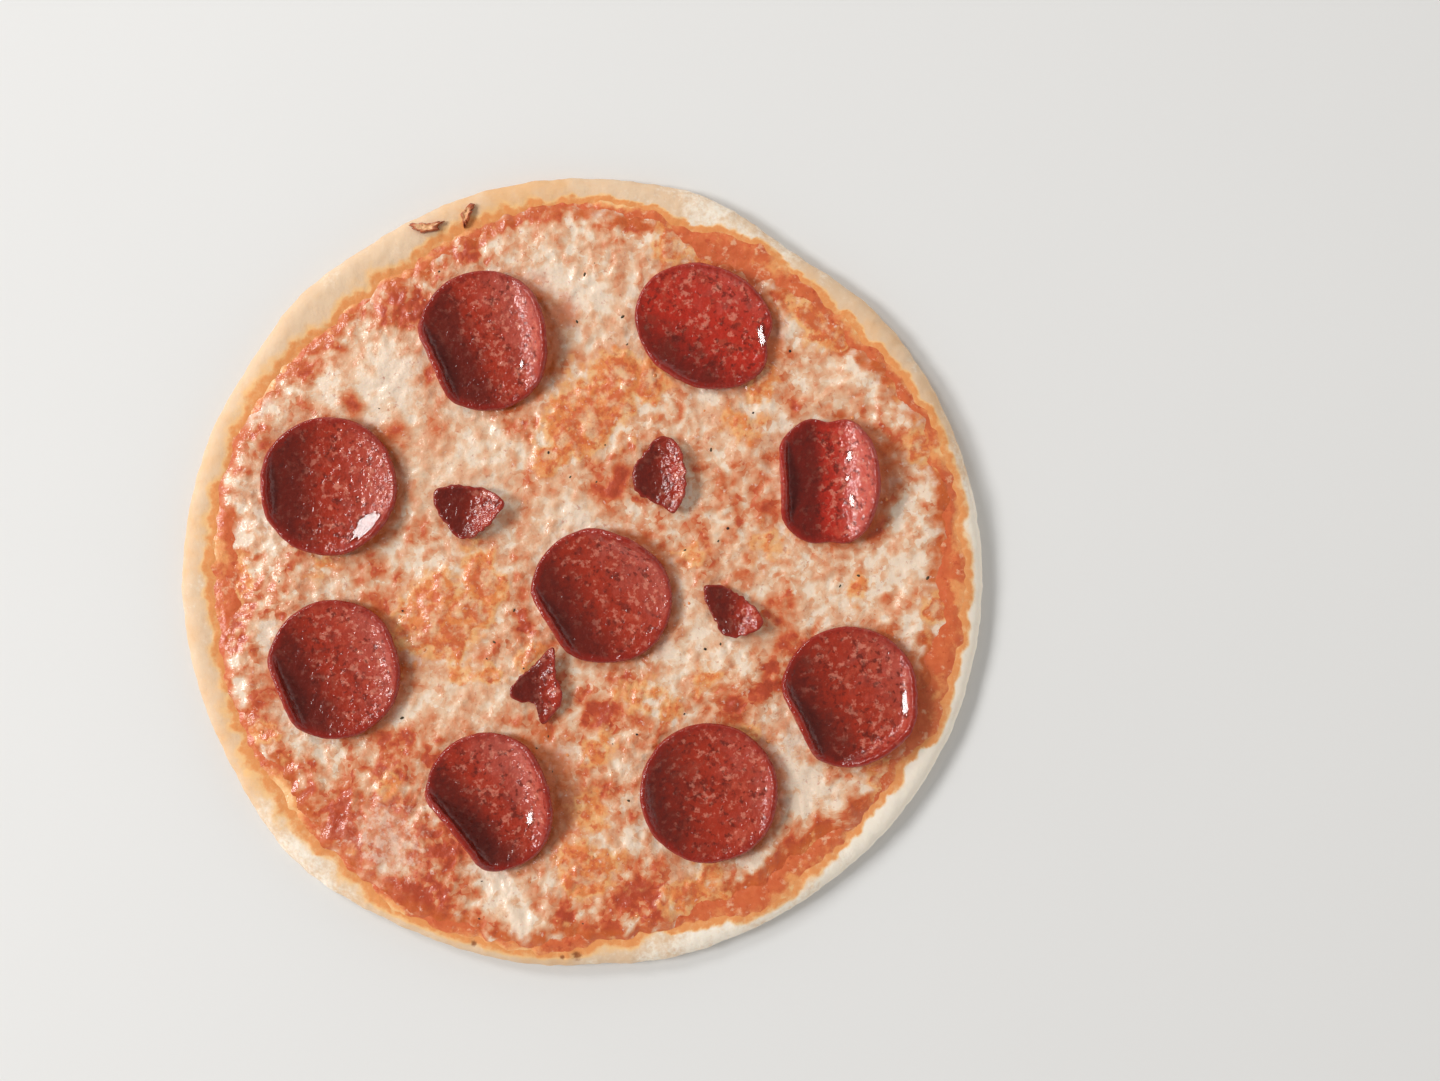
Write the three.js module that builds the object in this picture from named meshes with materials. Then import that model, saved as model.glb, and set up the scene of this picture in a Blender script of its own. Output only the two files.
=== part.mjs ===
import * as THREE from 'three';

// A pepperoni pizza, baked, whole and uncut. Millimetres, +Z up, the origin in the middle of its underside.
// Bearings are degrees counter-clockwise from +X, seen from above.

// Dough
const doughRadius = 126.3; // mean radius of the baked base
const doughThickness = 5.2; // under the sauce
const flatRadius = 98; // the dough is level inside this circle
const crownHeight = 7.6; // top of the bare rim
const crownInset = 5.5; // from the outline in to the crown
const widestHeight = 3.2; // height at which the base is widest
const footInset = 4.5; // the underside is flat inside this distance from the outline
const footRise = 0.6; // how far the rounded edge has risen half way out from the flat foot

// Layers on the dough
const gap = 0.35; // clearance between one piece and the next
const sauceRadius = 119.8;
const sauceThickness = 0.9;
const sauceLip = 0.4;
const cheeseRadius = 113.5;
const cheeseThickness = 1.8;
const cheeseLip = 0.8;
const bareRim = 3.6; // dough that always stays clear of sauce
const sauceMargin = 1.4; // sauce that always shows outside the cheese

// Pepperoni
const sliceThickness = 2.2;
const scrapThickness = 2;
const scrapBevel = 0.5;

// Facets
const pizzaFacets = 96;
const sliceFacets = 24;
const meltShares = [1 / 3, 2 / 3, 1];
const sauceShares = [1 / 2, 1];
const rimShares = [1 / 2, 1];
const cheeseRings = [9, 19, 29, 39, 49, 59, 69, 79, 89];
const sliceRings = [0.45, 0.68, 0.82, 0.92, 1];

// Where an edge swells or shrinks: [bearing, half width in degrees, depth].
const outlineBumps = [
  [5, 22, 1.4], [56, 11, -3.4], [72, 7, 0.8], [122, 14, -1.3], [135, 6, 0.9], [147, 8, -0.8],
  [182, 1.8, 0.8], [190, 25, 1.6], [225, 13, 3.4], [272, 6, -1.2], [335, 22, 2],
];
const sauceBumps = [
  [12, 22, 3], [47, 7, -3.5], [74, 6, -3], [126, 24, -7], [180, 18, -2], [252, 14, 5],
  [282, 9, -3], [299, 6, 5], [337, 5, 4], [350, 10, 3],
];
const cheeseBumps = [
  [12, 6, 5], [28, 5, 4], [41, 5, -4], [64, 9, -8], [94, 11, 4.5], [122, 18, -7],
  [128, 5, 3], [165, 7, 6], [180, 7, -10], [197, 8, 4.5], [238, 13, 5], [260, 9, 4],
  [281, 7, 4], [292, 6, -5], [300, 4, 4], [308, 5, -7], [318, 7, 4.5],
];

// Mounds of toasted cheese: [x, y, radius, height].
const mounds = [
  [-5, 46, 13, 1.5], [14, 56, 10, 1.2], [-43, -11, 12, 1.6], [3, -88, 11, 1.4], [28, -104, 9, 1],
  [78, 80, 9, 1], [-78, 58, 9, 0.8], [45, 104, 8, 0.7], [107, 12, 8, 0.7], [38, 4, 9, 0.7],
  [20, -41, 10, 0.9], [57, -38, 8, 0.8], [-62, -64, 8, 0.8], [-8, 104, 10, 0.8], [52, 40, 9, 0.8],
  [-35, 28, 8, 0.7], [-70, -86, 9, 0.9], [66, -98, 8, 0.7],
];

// Pepperoni slices: middle, half length and half width of the flat slice, the bearing of its length, and
// how far the heat has cupped its rim. A roll of its wall is [bearing, distance from the middle at which it
// starts, roll radius, steepest lean in degrees], and a dent in its edge is [bearing, half width, depth].
const slices = [
  {
    at: [-30, 73.4], half: [22.2, 21.4], turn: 100, cup: 1.2,
    rolls: [[204, 14.2, 3, 112], [8, 9.5, 11, 62]],
  },
  {
    at: [39.4, 78], half: [23, 19.1], turn: 333, cup: 1.2,
    rolls: [[237, 14.6, 6, 50], [66, 13.4, 8, 30]],
    dents: [[345, 13, -2.6]],
  },
  {
    at: [-79.3, 27.5], half: [21.8, 21.6], turn: 90, cup: 2.4,
    rolls: [[183, 16.6, 3.2, 98], [310, 16, 7, 50]],
  },
  {
    at: [78.3, 29.2], half: [21.2, 18.2], turn: 90, cup: 0.4,
    rolls: [[182, 11.4, 2.8, 138], [2, 2, 14, 46]],
    dents: [[90, 13, -2.4], [270, 13, -1.8]],
  },
  {
    at: [6.8, -7], half: [22.6, 21], turn: 150, cup: 1.4,
    rolls: [[212, 15, 3, 108], [63, 13, 6.5, 68]],
  },
  {
    at: [-77.5, -30.3], half: [22, 21.2], turn: 90, cup: 1.6,
    rolls: [[203, 14.2, 3.2, 122], [15, 14, 9, 46]],
  },
  {
    at: [85.2, -39], half: [22.4, 22], turn: 120, cup: 1,
    rolls: [[206, 14.6, 3.2, 116], [0, 15.2, 5, 66], [302, 14.4, 6, 58]],
  },
  {
    at: [-28.2, -72], half: [22.1, 20.6], turn: 115, cup: 1.4,
    rolls: [[219, 11, 3.2, 106], [15, 8.5, 12, 58]],
  },
  {
    at: [40.7, -69.2], half: [22, 21.8], turn: 90, cup: 2.2,
    rolls: [[190, 17.2, 5, 62], [355, 17, 5, 50]],
  },
];

// Torn scraps: middle, then the outline's corners from it, in order round the scrap.
const scraps = [
  {
    at: [-35.2, 19.2],
    corners: [[-11.2, 6.4], [-4.8, 9], [5.4, 7.6], [11.6, 4.4], [10.4, 0.2], [4, -6.8], [-2.2, -8.6],
      [-6.2, -5.6], [-10.4, 1]],
  },
  {
    at: [25.2, 31.2],
    corners: [[-1, 12.2], [5, 10.6], [8, 3.6], [8.2, -5], [5, -12.6], [0, -10], [-7.6, -6], [-9, 1.4],
      [-5, 7]],
  },
  {
    at: [48, -11.6],
    corners: [[-9.4, 7], [-3.8, 8.2], [5, 3.2], [9.6, -2], [9.2, -5.6], [1, -8.8], [-3.4, -7.2], [-7.6, 0]],
  },
  {
    at: [-13.2, -35.4],
    corners: [[4.8, 12.4], [5.8, 3.6], [8, -1.8], [6.6, -7.4], [1.2, -12.4], [-1.4, -6.2], [-7, -5.4],
      [-9, -0.6], [-1.4, 7]],
  },
];

// Toasted shreds on the bare rim: distance from the middle of the pizza, bearing, half length and half width,
// and the bearing of the length.
const shreds = [
  { reach: 119.4, bearing: 107.7, half: [4.6, 2], turn: 70 },
  { reach: 120, bearing: 114.2, half: [6, 1.9], turn: 4 },
];
const shredHeight = 1.1;

// Finishes
const bakedDough = new THREE.MeshStandardMaterial({ color: '#ecd9ae', roughness: 0.75, metalness: 0 });
const tomatoSauce = new THREE.MeshStandardMaterial({ color: '#cf5a2c', roughness: 0.4, metalness: 0 });
const meltedCheese = new THREE.MeshStandardMaterial({ color: '#e9c9a0', roughness: 0.45, metalness: 0 });
const curedSausage = new THREE.MeshStandardMaterial({ color: '#8f2a20', roughness: 0.35, metalness: 0 });

// A radius that changes near given bearings.
function unevenRadius(mean, bumps) {
  return (bearing) => bumps.reduce((radius, [at, width, depth]) => {
    const off = THREE.MathUtils.euclideanModulo(bearing - at + 180, 360) - 180;
    return radius + depth * Math.exp(-((off / width) ** 2));
  }, mean);
}

const outline = unevenRadius(doughRadius, outlineBumps);
const sauceReach = unevenRadius(sauceRadius, sauceBumps);
const cheeseReach = unevenRadius(cheeseRadius, cheeseBumps);
const flatEdge = () => flatRadius;
const sauceEdge = (bearing) => Math.min(sauceReach(bearing), outline(bearing) - bareRim);
const cheeseEdge = (bearing) => Math.min(cheeseReach(bearing), sauceEdge(bearing) - sauceMargin);
const rimLine = (bearing) => outline(bearing) - bareRim * 0.8;
const between = (inner, outer, share) => (bearing) => (
  THREE.MathUtils.lerp(inner(bearing), outer(bearing), share)
);

// Height of the dough's upper face: level in the middle, a low crown, then rounded down to the outline.
function doughTop(radius, bearing) {
  const inset = outline(bearing) - radius;
  const angle = THREE.MathUtils.degToRad(bearing);
  const crown = crownHeight + 0.3 * Math.sin(3 * angle + 1) + 0.2 * Math.sin(7 * angle);
  if (inset >= crownInset) {
    const climb = THREE.MathUtils.smoothstep(inset, crownInset, outline(bearing) - flatRadius);
    return THREE.MathUtils.lerp(crown, doughThickness, climb);
  }
  const lean = 1 - inset / crownInset;
  return widestHeight + (crown - widestHeight) * Math.sqrt(1 - lean * lean);
}

const sauceFloor = (radius, bearing) => doughTop(radius, bearing) + gap;

function sauceTop(radius, bearing) {
  const share = THREE.MathUtils.smoothstep(radius, cheeseEdge(bearing), sauceEdge(bearing));
  return sauceFloor(radius, bearing) + THREE.MathUtils.lerp(sauceThickness, sauceLip, share);
}

const cheeseFloor = (radius, bearing) => sauceTop(radius, bearing) + gap;

function cheeseTop(radius, bearing) {
  const angle = THREE.MathUtils.degToRad(bearing);
  const x = radius * Math.cos(angle);
  const y = radius * Math.sin(angle);
  const taper = THREE.MathUtils.smoothstep(radius, flatRadius - 8, cheeseEdge(bearing));
  const toasted = mounds.reduce((height, [moundX, moundY, size, rise]) => (
    height + rise * Math.exp(-(((x - moundX) ** 2 + (y - moundY) ** 2) / size ** 2) * 1.6)
  ), 0);
  const melt = THREE.MathUtils.lerp(cheeseThickness, cheeseLip, taper);
  return cheeseFloor(radius, bearing) + melt + toasted * (1 - 0.6 * taper);
}

// A closed solid of revolution whose rings are then placed one by one: each ring gives a point by bearing,
// from the middle of the underside out and back to the middle of the top.
function ringSolid(rings, facets) {
  const profile = rings.map((ring, i) => new THREE.Vector2(i === 0 || i === rings.length - 1 ? 0 : 1, i));
  const geometry = new THREE.LatheGeometry(profile, facets);
  const position = geometry.getAttribute('position');
  for (let i = 0; i < position.count; i += 1) {
    const step = Math.floor(i / rings.length) % facets;
    const point = rings[i % rings.length]((360 * step) / facets);
    position.setXYZ(i, point.x, point.y, point.z);
  }
  return geometry;
}

function polar(radius, bearing, height) {
  const angle = THREE.MathUtils.degToRad(bearing);
  return new THREE.Vector3(radius * Math.cos(angle), radius * Math.sin(angle), height);
}

// A ring of the pizza itself, at a radius and a height that both follow the bearing.
const ring = (reach, height) => (bearing) => polar(reach(bearing), bearing, height(reach(bearing), bearing));

function crust() {
  const inset = (distance) => (bearing) => outline(bearing) - distance;
  const level = (height) => () => height;
  const topRings = [
    ...meltShares.map((share) => between(flatEdge, cheeseEdge, share)),
    ...sauceShares.map((share) => between(cheeseEdge, sauceEdge, share)),
    ...rimShares.map((share) => between(sauceEdge, rimLine, share)),
    inset(bareRim * 0.3),
    inset(bareRim * 0.08),
  ];
  return ringSolid([
    ring(() => 0, level(0)),
    ring(flatEdge, level(0)),
    ring(inset(footInset), level(0)),
    ring(inset(footInset * 0.4), level(footRise)),
    ring(inset(footInset * 0.1), level(widestHeight * 0.5)),
    ring(inset(0), level(widestHeight)),
    ...topRings.reverse().map((reach) => ring(reach, doughTop)),
    ring(flatEdge, doughTop),
    ring(() => 0, doughTop),
  ], pizzaFacets);
}

function sauce() {
  const reaches = [
    flatEdge,
    ...meltShares.map((share) => between(flatEdge, cheeseEdge, share)),
    ...sauceShares.map((share) => between(cheeseEdge, sauceEdge, share)),
  ];
  return ringSolid([
    ring(() => 0, sauceFloor),
    ...reaches.map((reach) => ring(reach, sauceFloor)),
    ...reaches.toReversed().map((reach) => ring(reach, sauceTop)),
    ring(() => 0, sauceTop),
  ], pizzaFacets);
}

function cheese() {
  const reaches = [flatEdge, ...meltShares.map((share) => between(flatEdge, cheeseEdge, share))];
  const inner = cheeseRings.map((radius) => () => radius);
  return ringSolid([
    ring(() => 0, cheeseFloor),
    ...reaches.map((reach) => ring(reach, cheeseFloor)),
    ...reaches.toReversed().map((reach) => ring(reach, cheeseTop)),
    ...inner.reverse().map((reach) => ring(reach, cheeseTop)),
    ring(() => 0, cheeseTop),
  ], pizzaFacets);
}

// A point of the flat slice, bent: past each roll's line the slice curls up round the roll's radius
// and, once it leans as far as it goes, runs on straight.
function bend(point, { cup, rolls, half }) {
  const bent = point.clone();
  bent.z = cup * (point.length() / half[0]) ** 3;
  for (const [bearing, line, radius, lean] of rolls) {
    const outward = polar(1, bearing, 0);
    const past = bent.x * outward.x + bent.y * outward.y - line;
    if (past <= 0) continue;
    const steepest = THREE.MathUtils.degToRad(lean);
    const turned = Math.min(past / radius, steepest);
    const straight = past - turned * radius;
    const travel = radius * Math.sin(turned) + straight * Math.cos(turned);
    bent.addScaledVector(outward, travel - past);
    bent.z += radius * (1 - Math.cos(turned)) + straight * Math.sin(turned);
  }
  return bent;
}

function sliceSolid(slice) {
  const { half, turn, dents = [] } = slice;
  const dented = unevenRadius(0, dents);
  const natural = (share, bearing) => {
    const local = THREE.MathUtils.degToRad(bearing - turn);
    const reach = 1 / Math.hypot(Math.cos(local) / half[0], Math.sin(local) / half[1]);
    return polar(share * (reach + dented(bearing)), bearing, 0);
  };
  const skin = (share, side) => (bearing) => {
    const point = natural(share, bearing);
    const middle = bend(point, slice);
    const step = 0.05;
    const alongX = bend(point.clone().setX(point.x + step), slice).sub(middle);
    const alongY = bend(point.clone().setY(point.y + step), slice).sub(middle);
    const normal = alongX.cross(alongY).normalize();
    return middle.addScaledVector(normal, (side * sliceThickness) / 2);
  };
  return ringSolid([
    skin(0, -1),
    ...sliceRings.map((share) => skin(share, -1)),
    skin(1.025, 0),
    ...sliceRings.toReversed().map((share) => skin(share, 1)),
    skin(0, 1),
  ], sliceFacets);
}

function scrapSolid({ corners }) {
  const curve = new THREE.CatmullRomCurve3(corners.map(([x, y]) => new THREE.Vector3(x, y, 0)), true);
  const points = curve.getPoints(2 * corners.length).slice(0, -1);
  const edge = points.map((point) => new THREE.Vector2(point.x, point.y));
  return new THREE.ExtrudeGeometry(new THREE.Shape(edge), {
    depth: scrapThickness - 2 * scrapBevel,
    bevelThickness: scrapBevel,
    bevelSize: scrapBevel,
    bevelOffset: -scrapBevel,
    bevelSegments: 1,
  }).translate(0, 0, scrapBevel);
}

function shredSolid({ half }) {
  return new THREE.SphereGeometry(1, 12, 6).rotateX(Math.PI / 2).scale(half[0], half[1], shredHeight);
}

// The height at which a piece rests on the surface below it, its lowest points a gap above that surface.
function restingHeight(geometry, at, surface) {
  const position = geometry.getAttribute('position');
  let height = 0;
  for (let i = 0; i < position.count; i += 1) {
    const x = at[0] + position.getX(i);
    const y = at[1] + position.getY(i);
    const bearing = THREE.MathUtils.radToDeg(Math.atan2(y, x));
    height = Math.max(height, surface(Math.hypot(x, y), bearing) + gap - position.getZ(i));
  }
  return height;
}

const pizza = new THREE.Group();

function add(name, geometry, material, at, surface) {
  const mesh = new THREE.Mesh(geometry, material);
  mesh.name = name;
  if (at) mesh.position.set(at[0], at[1], restingHeight(geometry, at, surface));
  pizza.add(mesh);
}

add('crust', crust(), bakedDough);
add('sauce', sauce(), tomatoSauce);
add('cheese', cheese(), meltedCheese);
slices.forEach((slice, i) => {
  add(`pepperoni_slice_${i + 1}`, sliceSolid(slice), curedSausage, slice.at, cheeseTop);
});
scraps.forEach((scrap, i) => {
  add(`pepperoni_scrap_${i + 1}`, scrapSolid(scrap), curedSausage, scrap.at, cheeseTop);
});
shreds.forEach((shred, i) => {
  const { x, y } = polar(shred.reach, shred.bearing, 0);
  const geometry = shredSolid(shred).rotateZ(THREE.MathUtils.degToRad(shred.turn));
  add(`toasted_shred_${i + 1}`, geometry, meltedCheese, [x, y], doughTop);
});

export default pizza;
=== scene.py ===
import math
from functools import partial

import bpy
import numpy as np
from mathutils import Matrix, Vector
from mathutils.bvhtree import BVHTree


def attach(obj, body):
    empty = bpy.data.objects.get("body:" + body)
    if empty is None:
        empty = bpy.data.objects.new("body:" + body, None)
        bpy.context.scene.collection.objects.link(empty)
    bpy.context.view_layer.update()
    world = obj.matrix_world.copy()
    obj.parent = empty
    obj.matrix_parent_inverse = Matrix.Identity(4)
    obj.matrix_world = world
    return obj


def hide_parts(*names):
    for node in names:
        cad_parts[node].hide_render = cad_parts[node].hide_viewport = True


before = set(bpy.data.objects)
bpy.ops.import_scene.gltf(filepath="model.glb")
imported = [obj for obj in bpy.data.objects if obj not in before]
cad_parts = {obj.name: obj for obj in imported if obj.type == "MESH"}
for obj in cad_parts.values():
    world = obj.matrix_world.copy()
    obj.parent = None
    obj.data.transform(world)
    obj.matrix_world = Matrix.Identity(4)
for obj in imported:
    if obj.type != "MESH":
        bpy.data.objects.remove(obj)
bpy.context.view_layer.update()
print("frame loaded:", len(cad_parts), "nodes")

mm = 0.001  # shapes are worked out in millimetres and made in metres
fullTurn = 2 * math.pi
waveCells = 256  # the noise waves repeat after so many cells


# small tools

nodeKinds = {
    "math": "ShaderNodeMath", "vector": "ShaderNodeVectorMath", "noise": "ShaderNodeTexNoise",
    "mix": "ShaderNodeMix", "range": "ShaderNodeMapRange", "paint": "ShaderNodeAttribute",
    "combine": "ShaderNodeCombineXYZ", "separate": "ShaderNodeSeparateXYZ", "place": "ShaderNodeTexCoord",
}


def addNode(tree, kind, inputs=(), give=0, **settings):
    # one node with its settings and links: the kind may end in its operation, an input is a value or a
    # socket, and what comes back is the output that give names
    name, _, operation = kind.partition(" ")
    node = tree.nodes.new(nodeKinds.get(name, name))
    if operation:
        settings["operation"] = operation
    for title, value in settings.items():
        setattr(node, title, value)
    for key, value in inputs.items() if isinstance(inputs, dict) else enumerate(inputs):
        if isinstance(value, bpy.types.NodeSocket):
            tree.links.new(value, node.inputs[key])
        else:
            node.inputs[key].default_value = value
    return node.outputs[give] if node.outputs else node


def linear(hexColour):
    # sRGB hex to Blender's linear colour
    parts = [int(hexColour[i:i + 2], 16) / 255 for i in (1, 3, 5)]
    return (*[c / 12.92 if c <= 0.04045 else ((c + 0.055) / 1.055) ** 2.4 for c in parts], 1)


def smoothStep(value, low, high):
    share = np.clip((value - low) / (high - low), 0, 1)
    return share * share * (3 - 2 * share)


def blend(low, high, share):
    return low + (high - low) * share


def swells(x, y, size, seed):
    # smooth random waves about -1 to 1, one swell to a cell of that size
    lean = np.random.default_rng(seed).uniform(0, fullTurn, (waveCells, waveCells))
    u, v = x / size, y / size
    column, row = np.floor(u).astype(int), np.floor(v).astype(int)
    u, v = u - column, v - row

    def corner(right, up):
        angle = lean[(column + right) % waveCells, (row + up) % waveCells]
        return np.cos(angle) * (u - right) + np.sin(angle) * (v - up)

    easeU, easeV = (t * t * t * (t * (6 * t - 15) + 10) for t in (u, v))
    low = blend(corner(0, 0), corner(1, 0), easeU)
    high = blend(corner(0, 1), corner(1, 1), easeU)
    return 1.5 * blend(low, high, easeV)


def addedSwells(x, y, entries):
    # swells added up: [size, height, seed]
    return sum(height * swells(x, y, size, seed) for size, height, seed in entries)


def roughness(x, y, size, seed, layers=3):
    # swells with finer ones on top, each half the size and about half as high
    return addedSwells(x, y, [[size / 2 ** k, 0.55 ** k, seed + k] for k in range(layers)])


def unevenRadius(mean, bumps, bearing):
    # a radius that swells or shrinks near given bearings: [bearing, half width, depth]
    radius = np.full(np.shape(bearing), float(mean))
    for at, width, depth in bumps:
        off = (bearing - at + 180) % 360 - 180
        radius = radius + depth * np.exp(-(off / width) ** 2)
    return radius


def patchField(x, y, patches):
    # soft union of round patches: [x, y, radius, strength]
    clear = np.ones(np.shape(x))
    for atX, atY, size, strength in patches:
        clear = clear * (1 - strength * np.exp(-((x - atX) ** 2 + (y - atY) ** 2) / size ** 2))
    return 1 - clear


def polar(x, y):
    return np.hypot(x, y), np.degrees(np.arctan2(y, x)) % 360


def flatAt(radius, bearing):
    angle = np.radians(bearing)
    return radius * np.cos(angle), radius * np.sin(angle)


def onRing(radius, bearing, height):
    return np.stack(np.broadcast_arrays(*flatAt(radius, bearing), height), -1)


def discGrid(steps):
    # an even grid laid over the unit disc: points, squares, and its rim in order from bearing -45
    line = np.linspace(-1, 1, 2 * steps + 1)
    a, b = np.meshgrid(line, line, indexing="ij")
    wide = np.abs(a) > np.abs(b)
    reach = np.where(wide, a, b)
    with np.errstate(divide="ignore", invalid="ignore"):
        turn = np.where(wide, math.pi / 4 * b / a, math.pi / 2 - math.pi / 4 * a / b)
    turn[steps, steps] = 0
    count = 2 * steps + 1
    index = np.arange(count * count).reshape(count, count)
    squares = np.stack([index[:-1, :-1], index[1:, :-1], index[1:, 1:], index[:-1, 1:]], -1).reshape(-1, 4)
    rim = np.concatenate([index[-1, :-1], index[:0:-1, -1], index[0, :0:-1], index[:-1, 0]])
    return (reach * np.cos(turn)).ravel(), (reach * np.sin(turn)).ravel(), squares, rim


class Body:
    # a mesh put together from grids and rings that share their rims
    def __init__(self):
        self.points, self.faces, self.count = [], [], 0

    def addPoints(self, points):
        self.points.append(points)
        self.count += len(points)
        return np.arange(self.count - len(points), self.count)

    def addFaces(self, faces):
        self.faces.extend(np.asarray(faces).tolist())

    def joinRings(self, lower, upper):
        # squares between two rings, or triangles where the upper one has twice as many points
        if len(lower) == len(upper):
            self.addFaces(np.stack([lower, np.roll(lower, -1), np.roll(upper, -1), upper], -1))
            return
        first, middle, nextLower = upper[0::2], upper[1::2], np.roll(lower, -1)
        self.addFaces(np.stack([lower, middle, first], -1))
        self.addFaces(np.stack([lower, nextLower, middle], -1))
        self.addFaces(np.stack([nextLower, np.roll(first, -1), middle], -1))

    def closeWith(self, ring, point, upwards):
        centre = int(self.addPoints(np.array([point], float))[0])
        fan = np.stack([ring, np.roll(ring, -1), np.full(len(ring), centre)], -1)
        self.addFaces(fan if upwards else fan[:, ::-1])

    def makeObject(self, name, material, paints=None):
        mesh = bpy.data.meshes.new(name)
        mesh.from_pydata((np.concatenate(self.points) * mm).tolist(), [], self.faces)
        mesh.polygons.foreach_set("use_smooth", np.ones(len(mesh.polygons), bool))
        for title, values in (paints or {}).items():
            layer = mesh.attributes.new(title, "FLOAT", "POINT")
            layer.data.foreach_set("value", np.asarray(values, np.float32))
        mesh.materials.append(material)
        mesh.update()
        piece = bpy.data.objects.new(name, mesh)
        bpy.context.scene.collection.objects.link(piece)
        return piece


# the pizza's own form, as its solids have it

dough = {
    "radius": 126.3, "thickness": 5.2, "flatRadius": 98, "crown": 7.6, "crownInset": 5.5, "widest": 3.2,
    "footInset": 4.5, "bareRim": 3.6,
    # waves of the crown's height: [how many round the rim, height, start]
    "crownWaves": [[3, 0.3, 1], [7, 0.2, 0]],
    "bumps": [[5, 22, 1.4], [56, 11, -3.4], [72, 7, 0.8], [122, 14, -1.3], [135, 6, 0.9], [147, 8, -0.8],
              [182, 1.8, 0.5], [190, 25, 1.6], [225, 13, 3.4], [272, 6, -1.2], [335, 22, 2]],
}
tomato = {
    "radius": 119.8, "thickness": 0.9, "lip": 0.4, "margin": 1.4,
    "bumps": [[12, 22, 3], [47, 7, -3.5], [74, 6, -3], [126, 24, -7], [180, 18, -2], [252, 14, 5],
              [282, 9, -3], [299, 6, 5], [337, 5, 4], [350, 10, 3]],
}
melt = {
    "radius": 113.5, "thickness": 1.8, "lip": 0.8,
    "bumps": [[12, 6, 5], [28, 5, 4], [41, 5, -4], [64, 9, -8], [94, 11, 4.5], [122, 18, -7], [128, 5, 3],
              [165, 7, 6], [180, 7, -10], [197, 8, 4.5], [238, 13, 5], [260, 9, 4], [281, 7, 4],
              [292, 6, -5], [300, 4, 4], [308, 5, -7], [318, 7, 4.5]],
    # mounds of toasted cheese: [x, y, radius, height]
    "mounds": [[-5, 46, 13, 1.5], [14, 56, 10, 1.2], [-43, -11, 12, 1.6], [3, -88, 11, 1.4],
               [28, -104, 9, 1], [78, 80, 9, 1], [-78, 58, 9, 0.8], [45, 104, 8, 0.7], [107, 12, 8, 0.7],
               [38, 4, 9, 0.7], [20, -41, 10, 0.9], [57, -38, 8, 0.8], [-62, -64, 8, 0.8],
               [-8, 104, 10, 0.8], [52, 40, 9, 0.8], [-35, 28, 8, 0.7], [-70, -86, 9, 0.9],
               [66, -98, 8, 0.7]],
}
layerGap = 0.35  # the solids' own clearance, which the melted layers close here


def outline(bearing):
    return unevenRadius(dough["radius"], dough["bumps"], bearing)


def sauceEdge(bearing):
    reach = unevenRadius(tomato["radius"], tomato["bumps"], bearing)
    return np.minimum(reach, outline(bearing) - dough["bareRim"])


def cheeseEdge(bearing):
    reach = unevenRadius(melt["radius"], melt["bumps"], bearing)
    return np.minimum(reach, sauceEdge(bearing) - tomato["margin"])


def doughTop(radius, bearing):
    # level in the middle, a low crown, then rounded down to the outline
    edge, angle, inset = outline(bearing), np.radians(bearing), dough["crownInset"]
    inwards = edge - radius
    crown = dough["crown"] + sum(rise * np.sin(count * angle + start)
                                 for count, rise, start in dough["crownWaves"])
    climb = smoothStep(inwards, inset, edge - dough["flatRadius"])
    lean = np.clip(1 - inwards / inset, 0, 1)
    rounded = dough["widest"] + (crown - dough["widest"]) * np.sqrt(1 - lean * lean)
    return np.where(inwards >= inset, blend(crown, dough["thickness"], climb), rounded)


def sauceTop(radius, bearing):
    share = smoothStep(radius, cheeseEdge(bearing), sauceEdge(bearing))
    return doughTop(radius, bearing) + layerGap + blend(tomato["thickness"], tomato["lip"], share)


def meltTop(x, y):
    # the melted cheese without its fine relief
    radius, bearing = polar(x, y)
    taper = smoothStep(radius, dough["flatRadius"] - 8, cheeseEdge(bearing))
    toasted = sum(rise * np.exp(-1.6 * ((x - atX) ** 2 + (y - atY) ** 2) / size ** 2)
                  for atX, atY, size, rise in melt["mounds"])
    cover = blend(melt["thickness"], melt["lip"], taper)
    return sauceTop(radius, bearing) + layerGap + cover + toasted * (1 - 0.6 * taper)


# crust and sauce as they really lie

crust = {
    "around": 1200, "hiddenRadius": 97, "topStep": 0.75, "roundSteps": 9, "footSteps": 6, "underSteps": 75,
    "edgeWave": 0.28, "blister": 0.3, "crumb": 0.1, "underRelief": 0.5,
    # how golden and how floury the rim is, the flour laid on most thickly at the rim's right as painted
    # light:
    # [bearing, half width, how much]
    "golden": [[165, 22, 0.35], [207, 9, 0.35], [100, 10, 0.7], [243, 9, 0.3], [25, 12, 0.3],
               [42, 10, 0.3], [262, 10, 0.3]],
    "flour": [[65, 16, 0.5], [125, 14, 0.15], [182, 9, 0.25], [228, 14, 0.6], [290, 16, 0.6],
              [325, 20, 1.1], [0, 18, 1.0]],
    # how far the sauce's oil has run out over the dough: [bearing, half width, millimetres]
    "stainReach": [[104, 9, 2], [124, 12, 3], [152, 12, 3.2], [212, 12, 4.5], [243, 10, 8], [180, 14, 2],
                   [10, 20, 1.6], [265, 14, 2.5], [302, 8, 1.2]],
    # burnt spots and pits: [x, y, radius, depth]
    "spots": [[-1.3, -121.2, 1.5, 0.7], [-80, -80.5, 3, 0.2], [-6, -121.6, 0.8, 0.2],
              [45, 107.5, 0.7, 0.1], [-34, -117.5, 1.0, 0.2]],
}


def doughWave(bearing):
    x, y = flatAt(dough["radius"], bearing)
    return np.minimum(crust["edgeWave"] * (roughness(x, y, 6, 81) - 1.2), -0.1)


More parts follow.
